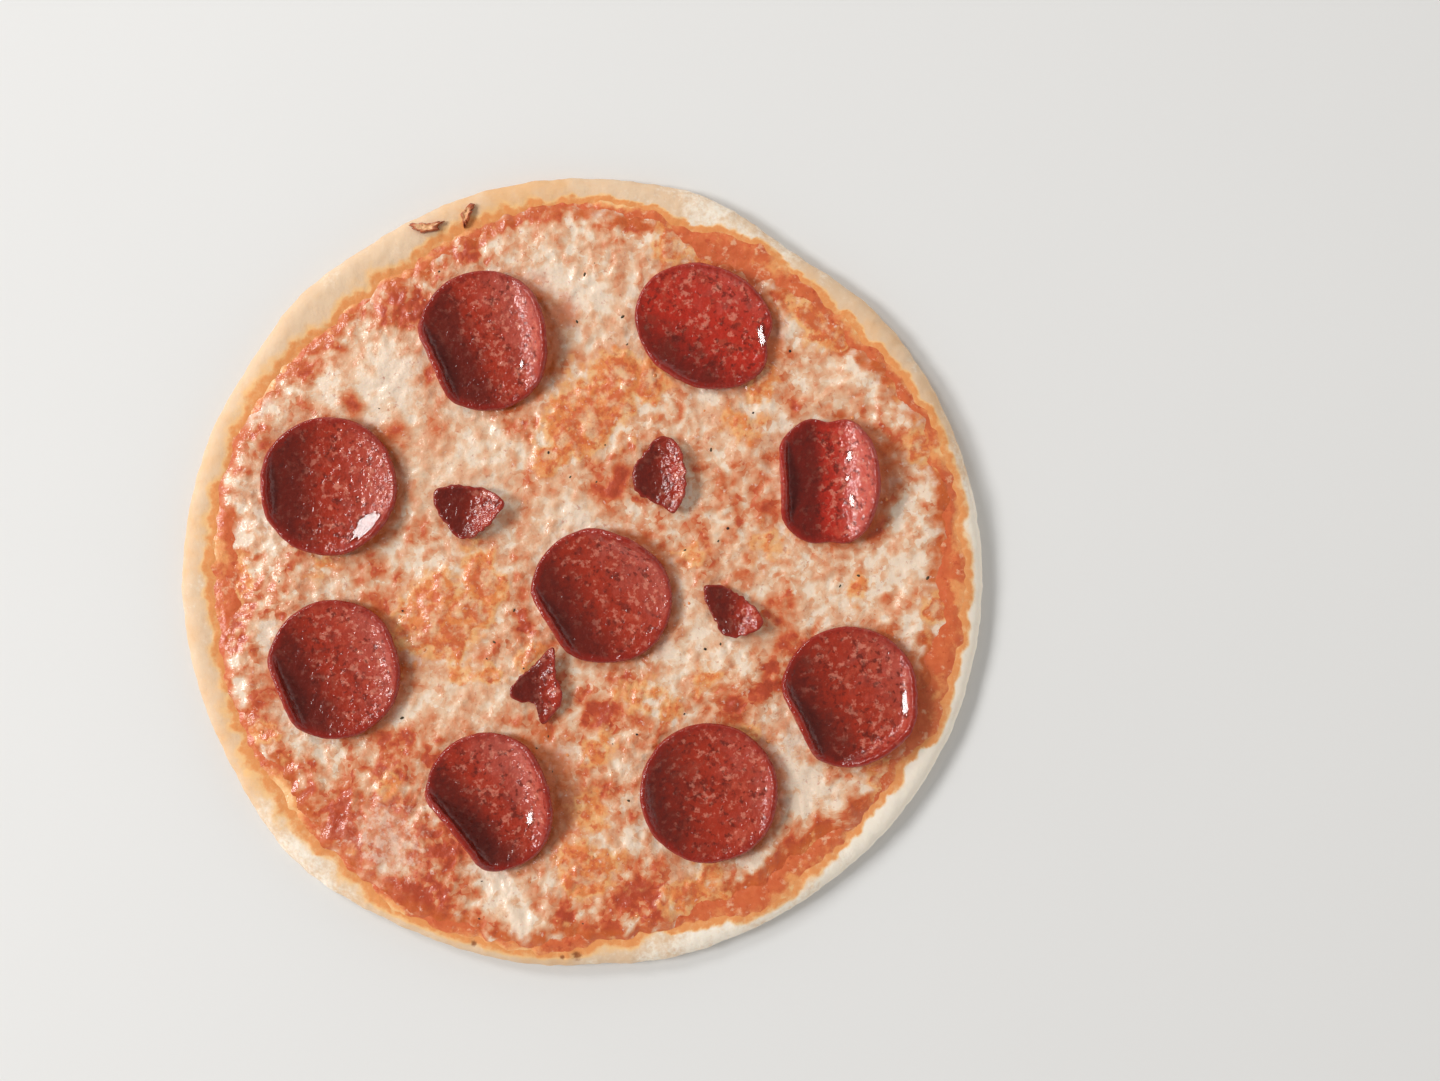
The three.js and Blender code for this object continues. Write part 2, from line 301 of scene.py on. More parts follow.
def crustLook(x, y):
    # relief and paints of the dough's upper side
    radius, bearing = polar(x, y)
    spots = sum(depth * np.exp(-((x - atX) ** 2 + (y - atY) ** 2) / size ** 2)
                for atX, atY, size, depth in crust["spots"])
    burn = sum(np.exp(-((x - atX) ** 2 + (y - atY) ** 2) / (1.3 * size) ** 2)
               for atX, atY, size, _ in crust["spots"])
    relief = crust["blister"] * roughness(x, y, 13, 91) + crust["crumb"] * roughness(x, y, 3, 95, 2) - spots
    spread = np.clip(1 + swells(x, y, 12, 103), 0.3, 2)
    stainReach = unevenRadius(0.6, crust["stainReach"], bearing) * spread
    clean = smoothStep(outline(bearing) - radius, 1, 4.5)  # the oil never reaches the outermost rim
    outwards = radius - sauceReach(bearing) + 1.2 * swells(x, y, 5, 97)
    patchy = 0.25 * roughness(x, y, 10, 99)
    return relief, {
        "stain": np.exp(-np.clip(outwards, 0, None) / stainReach) * clean,
        "golden": unevenRadius(0.15, crust["golden"], bearing) + patchy,
        "flour": unevenRadius(0.1, crust["flour"], bearing) - patchy,
        "burn": np.clip(burn, 0, 1), "under": np.zeros(x.shape),
    }


sauce = {
    "around": 1200, "rings": 24, "hidden": 9, "edgeRound": 5.0, "lump": 0.2, "sunk": 0.3,
    # its wavering edge, as [size, height, seed], and how far past the solid's edge it runs
    "edgeWaves": [[9, 1.9, 61], [3.5, 1.2, 62]], "runOut": 0.3,
    # where oil made it amber: [x, y, radius, strength]
    "amber": [[-92, -71, 9, 0.9], [-108, 46, 9, 0.9], [-99, 64, 9, 0.8], [-114, 26, 8, 0.6],
              [-78, 86, 9, 0.6], [-60, -104, 7, 0.4], [-20, -117, 10, 0.6], [10, 117, 8, 0.5],
              [112, 40, 7, 0.4], [88, -84, 8, 0.5]],
}


def sauceReach(bearing):
    x, y = flatAt(tomato["radius"], bearing)
    reach = sauceEdge(bearing) + addedSwells(x, y, sauce["edgeWaves"]) + sauce["runOut"]
    return np.minimum(reach, outline(bearing) - 0.8 * dough["bareRim"])


def sauceSurface(radius, bearing):
    # where the sauce really lies: a lumpy layer that feathers out over the dough
    x, y = flatAt(radius, bearing)
    low = doughTop(radius, bearing) + crustLook(x, y)[0] - sauce["sunk"]
    inwards = np.clip((sauceReach(bearing) - radius) / sauce["edgeRound"], 0, 1)
    lump = sauce["lump"] * roughness(x, y, 3.2, 71)
    full = np.maximum(sauceTop(radius, bearing) + lump - 0.25, low + 0.4)
    return low + (full - low) * smoothStep(inwards, 0, 1)


# pepperoni: where each slice lies and how the heat bent it

pepperoni = {
    "roundShare": 0.036, "edgeBand": 0.22,
    "lengths": {"Thickness": 2.2, "Pebble": 2.4, "Pebble Height": 0.5, "Crinkle": 0.8, "Waver": 1.2},
    # middle with its height, how strong its painted shade and sheen are, half sizes, bearing of the length,
    # cup of the rim, rolls of the wall as [bearing, where it starts, radius, steepest lean], dents as
    # [bearing, half width, depth], and how bright a red it kept
    "slices": [
        {"at": [-30, 73.4, 10.05], "pooled": 1.3, "half": [22.2, 21.4], "turn": 100, "cup": 1.2,
         "rolls": [[204, 14.2, 3, 112], [8, 9.5, 11, 62]]},
        {"at": [39.4, 78, 10.05], "pooled": 0.6, "half": [23, 19.1], "turn": 333, "cup": 1.2, "fresh": 0.8,
         "rolls": [[237, 14.6, 6, 50], [66, 13.4, 8, 30]], "dents": [[345, 13, -2.6]]},
        {"at": [-79.3, 27.5, 10.05], "pooled": 0.9, "half": [21.8, 21.6], "turn": 90, "cup": 2.4,
         "rolls": [[183, 16.6, 3.2, 98], [310, 16, 7, 50]]},
        {"at": [78.3, 29.2, 10.05], "pooled": 1.9, "half": [21.2, 18.2], "turn": 90, "cup": 0.4,
         "rolls": [[182, 11.4, 2.8, 138], [2, 2, 14, 46]], "dents": [[90, 13, -2.4], [270, 13, -1.8]],
         "fresh": 0.9},
        {"at": [6.8, -7, 10.05], "pooled": 0.9, "half": [22.6, 21], "turn": 150, "cup": 1.4,
         "rolls": [[212, 15, 3, 108], [63, 13, 6.5, 68]]},
        {"at": [-77.5, -30.3, 10.05], "pooled": 1.0, "half": [22, 21.2], "turn": 90, "cup": 1.6,
         "rolls": [[203, 14.2, 3.2, 122], [15, 14, 9, 46]]},
        {"at": [85.2, -39, 9.98], "pooled": 0.8, "half": [22.4, 22], "turn": 120, "cup": 1,
         "rolls": [[206, 14.6, 3.2, 116], [0, 15.2, 5, 66], [302, 14.4, 6, 58]]},
        {"at": [-28.2, -72, 10.05], "pooled": 1.3, "half": [22.1, 20.6], "turn": 115, "cup": 1.4,
         "rolls": [[219, 11, 3.2, 106], [15, 8.5, 12, 58]]},
        {"at": [40.7, -69.2, 10.05], "pooled": 0.6, "half": [22, 21.8], "turn": 90, "cup": 2.2,
         "rolls": [[190, 17.2, 5, 62], [355, 17, 5, 50]]},
    ],
}


def sliceShare(x, y, entry):
    # how far out of a slice a point lies: 1 at the flat slice's edge
    offX, offY = x - entry["at"][0], y - entry["at"][1]
    local = np.arctan2(offY, offX) - math.radians(entry["turn"])
    reach = 1 / np.hypot(np.cos(local) / entry["half"][0], np.sin(local) / entry["half"][1])
    return np.hypot(offX, offY) / reach, offX / reach


# melted cheese

cheese = {
    "steps": 146, "edgeRound": 9.0, "seed": 11,
    "shredCount": 3400, "shredLength": [2.0, 4.6], "shredWidth": [0.8, 1.5], "shredHeight": 0.45,
    "pitCount": 900, "pitSize": [0.6, 1.5], "pitDepth": 0.35,
    "swell": 0.42, "grain": 0.12, "cradle": 0.5, "edgeFade": 11, "sunk": 0.3,
    "edgeWaves": [[10, 2.6, 51], [4, 1.8, 52]], "runOut": 2.2,
    # baked orange: [x, y, radius, strength]
    "toast": [[12, 58, 12, 0.85], [20, 62, 8, 0.6], [5, 48, 8, 0.7], [-4, 44, 9, 0.9], [-3, 55, 7, 0.8],
              [-10, 36, 6, 0.6], [-33, 3, 6, 0.9], [-82, 1, 6, 0.5], [52, 48, 10, 0.5], [56, 58, 5, 0.5],
              [28, 105, 7, 0.8], [34, 108, 6, 0.9], [41, 103, 6, 0.8], [74, 82, 9, 0.9], [80, 76, 6, 0.8],
              [58, 63, 5, 0.6], [104, 57, 6, 0.6], [108, 40, 8, 0.7], [60, 10, 8, 0.55], [35, 7, 6, 0.6],
              [-46, -10, 11, 1], [-42, -22, 8, 0.95], [-33, -12, 7, 0.8], [-29, -4, 6, 0.8],
              [-53, -20, 7, 0.8], [-28, -32, 4, 0.8], [-38, -33, 4, 0.7], [-16, -27, 6, 0.8],
              [3, -75, 7, 0.8], [7, -92, 8, 0.75], [2, -99, 6, 0.8], [6, -56, 7, 0.75], [20, -38, 9, 0.6],
              [28, -43, 5, 0.7], [40, -33, 6, 0.6], [53, -50, 6, 0.65], [88, -5, 6, 0.7],
              [113, -12, 7, 0.8], [40, -94, 7, 0.7], [32, -103, 7, 0.8], [95, -65, 6, 0.8],
              [-100, -50, 5, 0.7], [-62, -66, 6, 0.6], [-110, 0, 7, 0.8], [-3, -92, 7, 0.7]],
    # tomato sauce close under thin cheese
    "redness": [[-46, 62, 5, 0.7], [-46, 46, 4, 0.8], [-19, 48, 4, 0.7], [-58, 45, 4, 0.6],
                [-73, 54, 4, 0.9], [-62, 84, 8, 0.8], [-76, 70, 4, 0.6], [-86, 64, 5, 0.8],
                [-52, 80, 5, 0.7], [-36, 103, 5, 0.9], [-16, 112, 6, 0.7], [18, 110, 5, 0.9],
                [48, 101, 6, 0.9], [58, 96, 7, 0.9], [64, 86, 4, 0.6], [83, 72, 5, 0.9], [86, 80, 5, 0.8],
                [67, 56, 4, 0.9], [117, 22, 6, 0.9], [116, 8, 6, 0.8], [94, 13, 4, 0.7], [7, 27, 6, 0.85],
                [14, 30, 4, 0.6], [99, 66, 5, 0.6], [-100, 42, 5, 0.7], [-18, -18, 4, 0.9],
                [-102, -48, 5, 0.8], [-110, -14, 6, 0.8], [-88, -68, 6, 0.8], [-79, -80, 6, 0.9],
                [-72, -70, 8, 0.6], [-62, -62, 5, 0.75], [-58, -53, 5, 0.6], [-50, -86, 9, 0.6],
                [-43, -90, 6, 0.8], [-60, -99, 8, 0.7], [-49, -104, 8, 0.9], [-36, -101, 5, 0.8],
                [-30, -113, 7, 0.8], [-70, -90, 8, 0.5], [-4, -108, 4, 0.8], [5, -45, 5, 0.85],
                [48, -42, 5, 0.9], [58, -34, 5, 0.85], [66, -20, 5, 0.7], [62, -13, 5, 0.7],
                [15, -30, 5, 0.7], [112, -32, 6, 0.95], [107, -43, 6, 0.95], [101, -51, 6, 0.9],
                [78, -82, 6, 0.85], [68, -85, 5, 0.95], [65, -95, 6, 0.9], [58, -103, 8, 0.9],
                [49, -102, 6, 0.9], [15, -103, 7, 0.85], [22, -107, 5, 0.8], [8, -113, 6, 0.8],
                [4, -70, 6, 0.7], [30, -97, 5, 0.5], [88, -73, 4, 0.6]],
    # thick pale cheese
    "cream": [[-30, -103, 7, 0.8], [-25, -97, 5, 0.7], [-20, -110, 4, 0.9], [-35, -108, 4, 0.9],
              [-88, -55, 7, 0.5], [66, -58, 6, 0.9], [70, -70, 7, 0.9], [82, -72, 5, 0.7],
              [55, -92, 5, 0.8], [60, -84, 5, 0.7], [18, -82, 7, 0.7], [105, -14, 6, 0.8],
              [75, -12, 7, 0.5], [25, -25, 5, 0.9], [45, -25, 8, 0.6], [52, -33, 4, 0.8],
              [40, 56, 6, 0.8], [66, 78, 4, 0.9], [101, 2, 9, 0.6], [108, 16, 6, 0.7], [62, 91, 4, 0.7],
              [88, 66, 6, 0.9], [110, 28, 5, 0.8], [96, 20, 8, 0.6], [104, 52, 5, 0.6],
              [-12, 92, 10, 0.6], [-20, 104, 10, 0.5], [5, 92, 10, 0.6], [20, 108, 6, 0.7],
              [-60, 62, 10, 0.6], [-82, 62, 6, 0.7], [-96, 10, 5, 0.8], [-103, 16, 5, 0.8],
              [-98, -20, 6, 0.6], [-60, 20, 8, 0.4], [-54, -26, 5, 0.8], [-5, 16, 10, 0.4]],
    # strands of cheese that kept their form, in rough discs: [x, y, radius, count]
    "strands": [[-62, -84, 20, 300], [-48, -98, 12, 90], [-106, 18, 12, 110], [-88, -58, 11, 80],
                [72, -72, 12, 90], [104, -16, 8, 50], [64, 82, 8, 40], [92, 64, 9, 60], [2, 106, 14, 80],
                [-18, 48, 10, 50], [25, -30, 12, 70], [-10, -106, 15, 100], [58, -92, 8, 40],
                [47, -34, 11, 60], [52, 58, 10, 50], [102, 48, 9, 50], [-62, 84, 10, 50],
                [-96, -8, 10, 50], [16, -60, 12, 50], [105, 18, 10, 60], [84, -82, 8, 40],
                [40, 12, 12, 40], [-20, -20, 10, 30]],
    "strandLength": [1.4, 3.2], "strandWidth": [0.6, 0.95], "strandHeight": 0.5,
    # smooth, evenly melted areas: [x, y, radius, strength]
    "calm": [[-38, 32, 24, 0.8], [2, 84, 18, 0.7], [-62, 60, 16, 0.7], [-4, 18, 12, 0.7],
             [20, -14, 10, 0.5], [-34, -42, 13, 0.6], [48, -16, 12, 0.5], [-58, -40, 8, 0.6],
             [40, 54, 8, 0.6], [12, -84, 9, 0.5], [80, 60, 10, 0.5], [-24, -106, 8, 0.6],
             [104, 2, 9, 0.6], [70, -66, 7, 0.5]],
    # free oil that has run out of the pepperoni
    "oil": [[-6, 82, 7, 0.9], [-14, 92, 6, 0.6], [96, 38, 7, 0.8], [98, 28, 6, 0.7], [-8, -60, 8, 0.8],
            [-5, -74, 8, 0.9], [-12, -52, 5, 0.6], [58, 63, 6, 0.6], [28, 4, 6, 0.6], [12, -28, 6, 0.5],
            [-52, -28, 5, 0.6], [-55, 18, 5, 0.4]],
}


def stampField(half, cell, stamps, profile):
    # one raster of round-ended strokes, the highest winning; a second one keeps the winner's tone
    count = int(2 * half / cell) + 1
    height, tone = np.zeros((count, count)), np.zeros((count, count))
    for atX, atY, turn, length, width, rise, shade in stamps:
        reach = length + width
        (x0, x1), (y0, y1) = (
            [int(np.clip((end + half) / cell, 0, count - 1)) for end in (at - reach, at + reach + cell)]
            for at in (atX, atY))
        x = np.arange(x0, x1) * cell - half - atX
        y = (np.arange(y0, y1) * cell - half - atY)[:, None]
        along = x * math.cos(turn) + y * math.sin(turn)
        across = -x * math.sin(turn) + y * math.cos(turn) + 0.06 * along * along * math.sin(9 * shade)
        off = np.hypot(np.maximum(np.abs(along) - length, 0), across) / width
        stamp = rise * profile(np.clip(off, 0, 1))
        window = (slice(y0, y1), slice(x0, x1))
        wins = stamp > height[window]
        height[window] = np.where(wins, stamp, height[window])
        tone[window] = np.where(wins, shade, tone[window])
    return height, tone


def soften(field, passes):
    # the raster with its steps smoothed away
    for _ in range(passes):
        for axis in (0, 1):
            field = 0.5 * field + 0.25 * (np.roll(field, 1, axis) + np.roll(field, -1, axis))
    return field


def lookUp(field, half, cell, x, y):
    # what a raster says at any point, between its cells
    u, v = (x + half) / cell, (y + half) / cell
    column = np.clip(np.floor(u).astype(int), 0, field.shape[1] - 2)
    row = np.clip(np.floor(v).astype(int), 0, field.shape[0] - 2)
    u, v = u - column, v - row
    low = blend(field[row, column], field[row, column + 1], u)
    return blend(low, blend(field[row + 1, column], field[row + 1, column + 1], u), v)


rasterHalf, rasterCell = 122, 0.4  # half the width of a raster of stamps, and one cell of it


def scatterStamps(discs, length, width, seed):
    # strokes at random in each disc: place, turn, half length, half width, height and tone
    draw = np.random.default_rng(seed)
    for middleX, middleY, radius, count in discs:
        for _ in range(count):
            turn, far = draw.uniform(0, fullTurn), radius * math.sqrt(draw.uniform())
            yield (middleX + far * math.cos(turn), middleY + far * math.sin(turn), draw.uniform(0, math.pi),
                   draw.uniform(*length), draw.uniform(*width), draw.uniform(0.5, 1), draw.uniform(-1, 1))


def makeCheeseFields():
    # softened rasters of the shreds, pits and strands, and of the tones of each
    def dome(off):
        return np.sqrt(1 - off * off)

    def bowl(off):
        return (1 - off * off) ** 2

    shredDisc, pitDisc = ([0, 0, rasterHalf, cheese[name]] for name in ("shredCount", "pitCount"))
    kinds = [
        ("shreds", [shredDisc], cheese["shredLength"], cheese["shredWidth"], dome, 4),
        ("pits", [pitDisc], [0, 0.4], cheese["pitSize"], bowl, 2),
        ("strands", cheese["strands"], cheese["strandLength"], cheese["strandWidth"], dome, 1),
    ]
    fields = {}
    for number, (name, discs, length, width, profile, passes) in enumerate(kinds):
        stamps = scatterStamps(discs, length, width, cheese["seed"] + number)
        height, tone = stampField(rasterHalf, rasterCell, stamps, profile)
        fields[name], fields[name + "Tone"] = soften(height, passes), soften(tone, passes)
    return fields


cheeseFields = makeCheeseFields()


def cheeseLook(x, y):
    # fine relief of the cheese and its paints, from the same shreds, pits and patches
    shreds, tone, pits, strands = (lookUp(cheeseFields[name], rasterHalf, rasterCell, x, y)
                                   for name in ("shreds", "shredsTone", "pits", "strands"))
    swirlX, swirlY = x + 3 * swells(x, y, 9, 35), y + 3 * swells(x, y, 9, 36)
    wide = roughness(swirlX, swirlY, 20, 21, 2)
    middle = roughness(swirlX, swirlY, 7, 31, 2)
    fine = roughness(x, y, 2.8, 41, 2)
    toasted, redness, creamy, oily, calm = (patchField(x, y, cheese[name])
                                            for name in ("toast", "redness", "cream", "oil", "calm"))
    busy = (1 - calm) * (0.7 + 0.3 * smoothStep(roughness(x, y, 28, 29), -0.5, 0.5))
    fullest = max(count for *_, count in cheese["strands"])
    stranded = patchField(x, y, [[*disc, count / fullest] for *disc, count in cheese["strands"]])
    radius, bearing = polar(x, y)
    nearEdge = smoothStep(cheeseReach(bearing) - radius, cheese["edgeFade"], 0.5)
    shown = smoothStep(wide + middle * 0.3 + creamy * 0.5, -0.8, 0.4)  # where shreds kept their form
    thin = smoothStep(roughness(x, y, 13, 27) + 0.5 * redness, -0.5, 0.7)  # where the melt is thin
    pitted = pits * smoothStep(middle - 0.4 * creamy + 0.6 * redness + 0.5 * thin, -0.3, 0.5)
    mottle = (0.3 * middle + 0.15 * fine + 0.4 * (0.42 - shreds) * (0.4 + thin) + 0.17 * tone
              + 0.3 * pitted)
    paints = {
        # 0 for thick pale cheese, 1 for tomato close under it
        "thinness": (0.39 + 0.18 * wide - 0.26 * (1 - busy) + 0.12 * thin * busy
                     + (0.35 + 0.65 * busy) * mottle
                     + 0.55 * redness + 0.05 * toasted - 0.42 * creamy
                     + nearEdge * (0.12 + 0.35 * middle + 0.3 * fine) + stranded * (0.28 - 0.5 * strands)),
        "busy": 0.2 + 0.8 * busy,
        "stranded": stranded,
        "toast": smoothStep(1.1 * toasted + 0.3 * middle + 0.2 * fine + 0.1 * wide - 0.3 * creamy
                            + 0.15 * nearEdge, 0.12, 1.0),
        "oil": np.maximum(oily, nearEdge * (0.7 + 0.4 * middle)),
    }
    relief = (cheese["shredHeight"] * shreds * shown + cheese["strandHeight"] * strands
              + cheese["swell"] * (middle + 0.5 * wide)
              + cheese["grain"] * fine * (1 + toasted) - cheese["pitDepth"] * pitted
              - 0.25 * smoothStep(paints["thinness"], 0.5, 1) - 0.35 * nearEdge)
    relief = relief * (1 - 0.5 * nearEdge)
    for entry in pepperoni["slices"]:
        share, side = sliceShare(x, y, entry)
        relief = relief + cheese["cradle"] * smoothStep(share, 1.0, 0.75)
        # a ring of oil round each slice, much stronger at its right: partly oil, partly painted shadow
        # where the slice's shadow falls
        oilRingAndShadow = np.exp(-np.clip(share - 1, 0, None) * 5.5) * (0.25 + 0.75 * smoothStep(side, -0.3, 0.9))
        paints["oil"] = np.maximum(paints["oil"], oilRingAndShadow * (share > 0.6))
    return relief, paints


def cheeseReach(bearing):
    # the solid's edge, averaged over a few degrees, with small scallops
    x, y = flatAt(melt["radius"], bearing)
    mean = sum(cheeseEdge(bearing + off) for off in (-6, -3, 0, 3, 6)) / 5
    reach = mean + addedSwells(x, y, cheese["edgeWaves"]) + cheese["runOut"]
    return np.minimum(reach, outline(bearing) - 0.9 * dough["bareRim"])


def cheeseSurface(x, y):
    radius, bearing = polar(x, y)
    inwards = np.clip((cheeseReach(bearing) - radius) / cheese["edgeRound"], 0, 1)
    relief, paints = cheeseLook(x, y)
    low = sauceSurface(radius, bearing) - cheese["sunk"]
    full = np.maximum(meltTop(x, y) + relief, low + 0.4)
    return low + (full - low) * smoothStep(inwards, -0.15, 0.9), paints


def makeCheese(material):
    unitX, unitY, squares, rim = discGrid(cheese["steps"])
    share, bearing = polar(unitX, unitY)
    radius = share * cheeseReach(bearing)
    x, y = flatAt(radius, bearing)
    height, paints = cheeseSurface(x, y)
    body = Body()
    top = body.addPoints(np.stack([x, y, height], -1))
    body.addFaces(squares)
    bearing, reach, rings = bearing[rim], radius[rim], [top[rim]]
    for inset in (0.4, 8, 15):
        at = reach - inset
        rings.append(body.addPoints(onRing(at, bearing, sauceSurface(at, bearing) - 1.5 * cheese["sunk"])))
    for upper, lower in zip(rings, rings[1:]):
        body.joinRings(lower, upper)
    level = dough["thickness"] + layerGap + tomato["thickness"]
    body.closeWith(rings[-1], [0, 0, level - 1.5 * cheese["sunk"]], False)
    extra = body.count - len(top)
    return body.makeObject("meltedCheese", material,
                           {name: np.concatenate([values, np.full(extra, values[rim].mean())])
                            for name, values in paints.items()})


# materials

def newMaterial(name, sockets):
    # a material with its shader's sockets set, what adds its nodes, and the object's own coordinates
    material = bpy.data.materials.new(name)
    material.use_nodes = True
    shader = material.node_tree.nodes["Principled BSDF"]
    for title, value in sockets.items():
        shader.inputs[title].default_value = value
    add = partial(addNode, material.node_tree)
    return material, shader, add, add("place", give="Object")


def paintLayers(add, place, colour, layers):
    # each layer covers where its paint, broken up by noise of a real size, is strong enough:
    # [paint, size, how broken up, where it starts, where it is full, tint, how much it covers]
    for paint, size, breakUp, start, full, tint, cover in layers:
        amount = add("paint", give="Fac", attribute_name=paint) if paint else 0.0
        noise = add("noise", {"Vector": place, "Scale": 1 / (size * mm), "Detail": 4.0, "Roughness": 0.62})
        amount = add("math MULTIPLY_ADD", (add("math ADD", (noise, -0.5)), 2 * breakUp, amount))
        share = add("range", {"Value": amount, "From Min": start, "From Max": full, "To Max": cover},
                    interpolation_type="SMOOTHSTEP")
        colour = add("mix", {0: share, 6: colour, 7: linear(tint)}, 2, data_type="RGBA")
    return colour


def finishShader(add, place, shader, colour, rough, bumps):
    # roughness from noise, as [size, smoothest, roughest], and bumps as [size, height] one on another
    links = shader.id_data.links
    links.new(colour, shader.inputs["Base Color"])
    size, smoothest, roughest = rough
    noise = add("noise", {"Vector": place, "Scale": 1 / (size * mm), "Detail": 2.0})
    links.new(add("range", {"Value": noise, "From Min": 0.3, "From Max": 0.7, "To Min": smoothest,
                            "To Max": roughest}), shader.inputs["Roughness"])
    normal = {}
    for size, height in bumps:
        noise = add("noise", {"Vector": place, "Scale": 1 / (size * mm), "Detail": 2.0})
        bump = add("ShaderNodeBump", {"Height": noise, "Distance": height * mm, "Strength": 1.0, **normal})
        normal = {"Normal": bump}
    for title in ("Normal", "Coat Normal"):
        links.new(bump, shader.inputs[title])


def makeMaterial(name, sockets, tones, rough, bumps, layers=()):
    # two tones mottled by noise, as [first, second, size, detail], with layers painted over them
    material, shader, add, place = newMaterial(name, sockets)
    first, second, size, detail = tones
    noise = add("noise", {"Vector": place, "Scale": 1 / (size * mm), "Detail": detail})
    colour = add("mix", {0: noise, 6: linear(first), 7: linear(second)}, 2, data_type="RGBA")
    finishShader(add, place, shader, paintLayers(add, place, colour, layers), rough, bumps)
    return material


mozzarella = {
    "sockets": {"IOR": 1.45, "Subsurface Weight": 0.1, "Subsurface Radius": (1.0, 0.6, 0.35),
                "Subsurface Scale": 1.0 * mm, "Coat Weight": 0.5, "Coat Roughness": 0.12, "Coat IOR": 1.47},
    # from thick pale cheese to tomato close under it
    "tones": [(0.0, "#eed6be"), (0.12, "#e8c4a4"), (0.26, "#e2b08b"), (0.4, "#dc9d76"), (0.54, "#d5865b"),
              (0.68, "#ce6a3b"), (0.82, "#c4522a"), (1.0, "#b2421f")],
    # sizes in millimetres of its soft mottle, of its flakes and of what pulls those out of shape, how far
    # they are pulled, and how strong the mottle and the flakes are
    "melt": 3, "flake": 2.3, "warp": 2.4, "pull": 3.6, "meltShare": 0.6, "flakeShare": 0.46,
    "layers": [
        # orange oil, with painted shadow at the right of each slice
        ("oil", 3.0, 0.35, 0.2, 0.85, "#c75f22", 0.8),
        ("toast", 3.0, 0.4, 0.1, 0.6, "#eeb272", 0.8),
        ("toast", 4.2, 1.1, 0.35, 0.85, "#de7a38", 0.85),
        ("toast", 2.6, 1.2, 0.65, 1.1, "#c9562a", 0.75),
        ("toast", 5.0, 1.2, 0.8, 1.4, "#f3d3a6", 0.6),
        ("stranded", 3.4, 0.9, 0.5, 1.05, "#dc8464", 0.5),
        ("stranded", 2.6, 1.0, 0.75, 1.1, "#f0cfb8", 0.6),
        (None, 1.6, 1.0, 0.2, 0.42, "#ba5231", 0.5),
        # pale flecks of thick cheese, partly painted highlights
        (None, 2.1, 1.0, 0.24, 0.46, "#f4e2d2", 0.5),
    ],
    "rough": [3, 0.3, 0.5], "bumps": [[2.0, 0.34], [0.8, 0.08]],
}


def mozzarellaMaterial():
    # low-moisture mozzarella, baked until it melted and browned: cream where it is thick, orange to red
    # where tomato comes through, with a thin gloss of its own oil
    material, shader, add, place = newMaterial("bakedMozzarella", mozzarella["sockets"])
    thin, busy = (add("paint", give="Fac", attribute_name=name) for name in ("thinness", "busy"))
    meltScale, flakeScale, warpScale = (1 / (mozzarella[name] * mm) for name in ("melt", "flake", "warp"))
    melt = add("noise", {"Vector": place, "Scale": meltScale, "Detail": 2.5, "Roughness": 0.5,
                         "Distortion": 0.5})
    # flakes that kept their edges: cells of a few millimetres, pulled out of shape
    warp = add("noise", {"Vector": place, "Scale": warpScale, "Detail": 1.0}, "Color")
    pulled = add("vector MULTIPLY_ADD", (warp, (mozzarella["pull"] * mm,) * 3, place))
    flake = add("ShaderNodeTexVoronoi", {"Vector": pulled, "Scale": flakeScale}, "Color")
    for pattern, share in ((melt, mozzarella["meltShare"]), (flake, mozzarella["flakeShare"])):
        pattern = add("math MULTIPLY", (add("math ADD", (pattern, -0.5)), busy))
        thin = add("math MULTIPLY_ADD", (pattern, share, thin))
    thin = add("range", {"Value": thin, "From Min": 0.04, "From Max": 0.93})
    colour = add("ShaderNodeValToRGB", [thin])
    stops = colour.node.color_ramp.elements
    while len(stops) < len(mozzarella["tones"]):
        stops.new(0.5)
    for stop, (at, tint) in zip(stops, mozzarella["tones"]):
        stop.position = at
        stop.color = linear(tint)
    colour = paintLayers(add, place, colour, mozzarella["layers"])
    finishShader(add, place, shader, colour, mozzarella["rough"], mozzarella["bumps"])
    return material


def sauceMaterial():
    # cooked tomato sauce: wet, red where it is deep, orange where it thins out over the dough
    return makeMaterial("bakedTomatoSauce", {
        "IOR": 1.4, "Subsurface Weight": 0.08, "Subsurface Radius": (1.0, 0.3, 0.15),
        "Subsurface Scale": 0.8 * mm, "Coat Weight": 0.3, "Coat Roughness": 0.18, "Coat IOR": 1.45,
    }, ["#c24e29", "#de7743", 4, 4.0], [2, 0.3, 0.5], [[1.4, 0.2], [0.6, 0.06]], [
        (None, 3.2, 1.0, 0.1, 0.4, "#f0bf98", 0.65),
        (None, 2.6, 1.0, 0.15, 0.4, "#b03a1a", 0.6),
        ("thin", 3.5, 0.8, 0.3, 0.9, "#eda262", 0.85),
        ("thin", 2.5, 0.5, 0.75, 1.05, "#f0be84", 0.9),
    ])


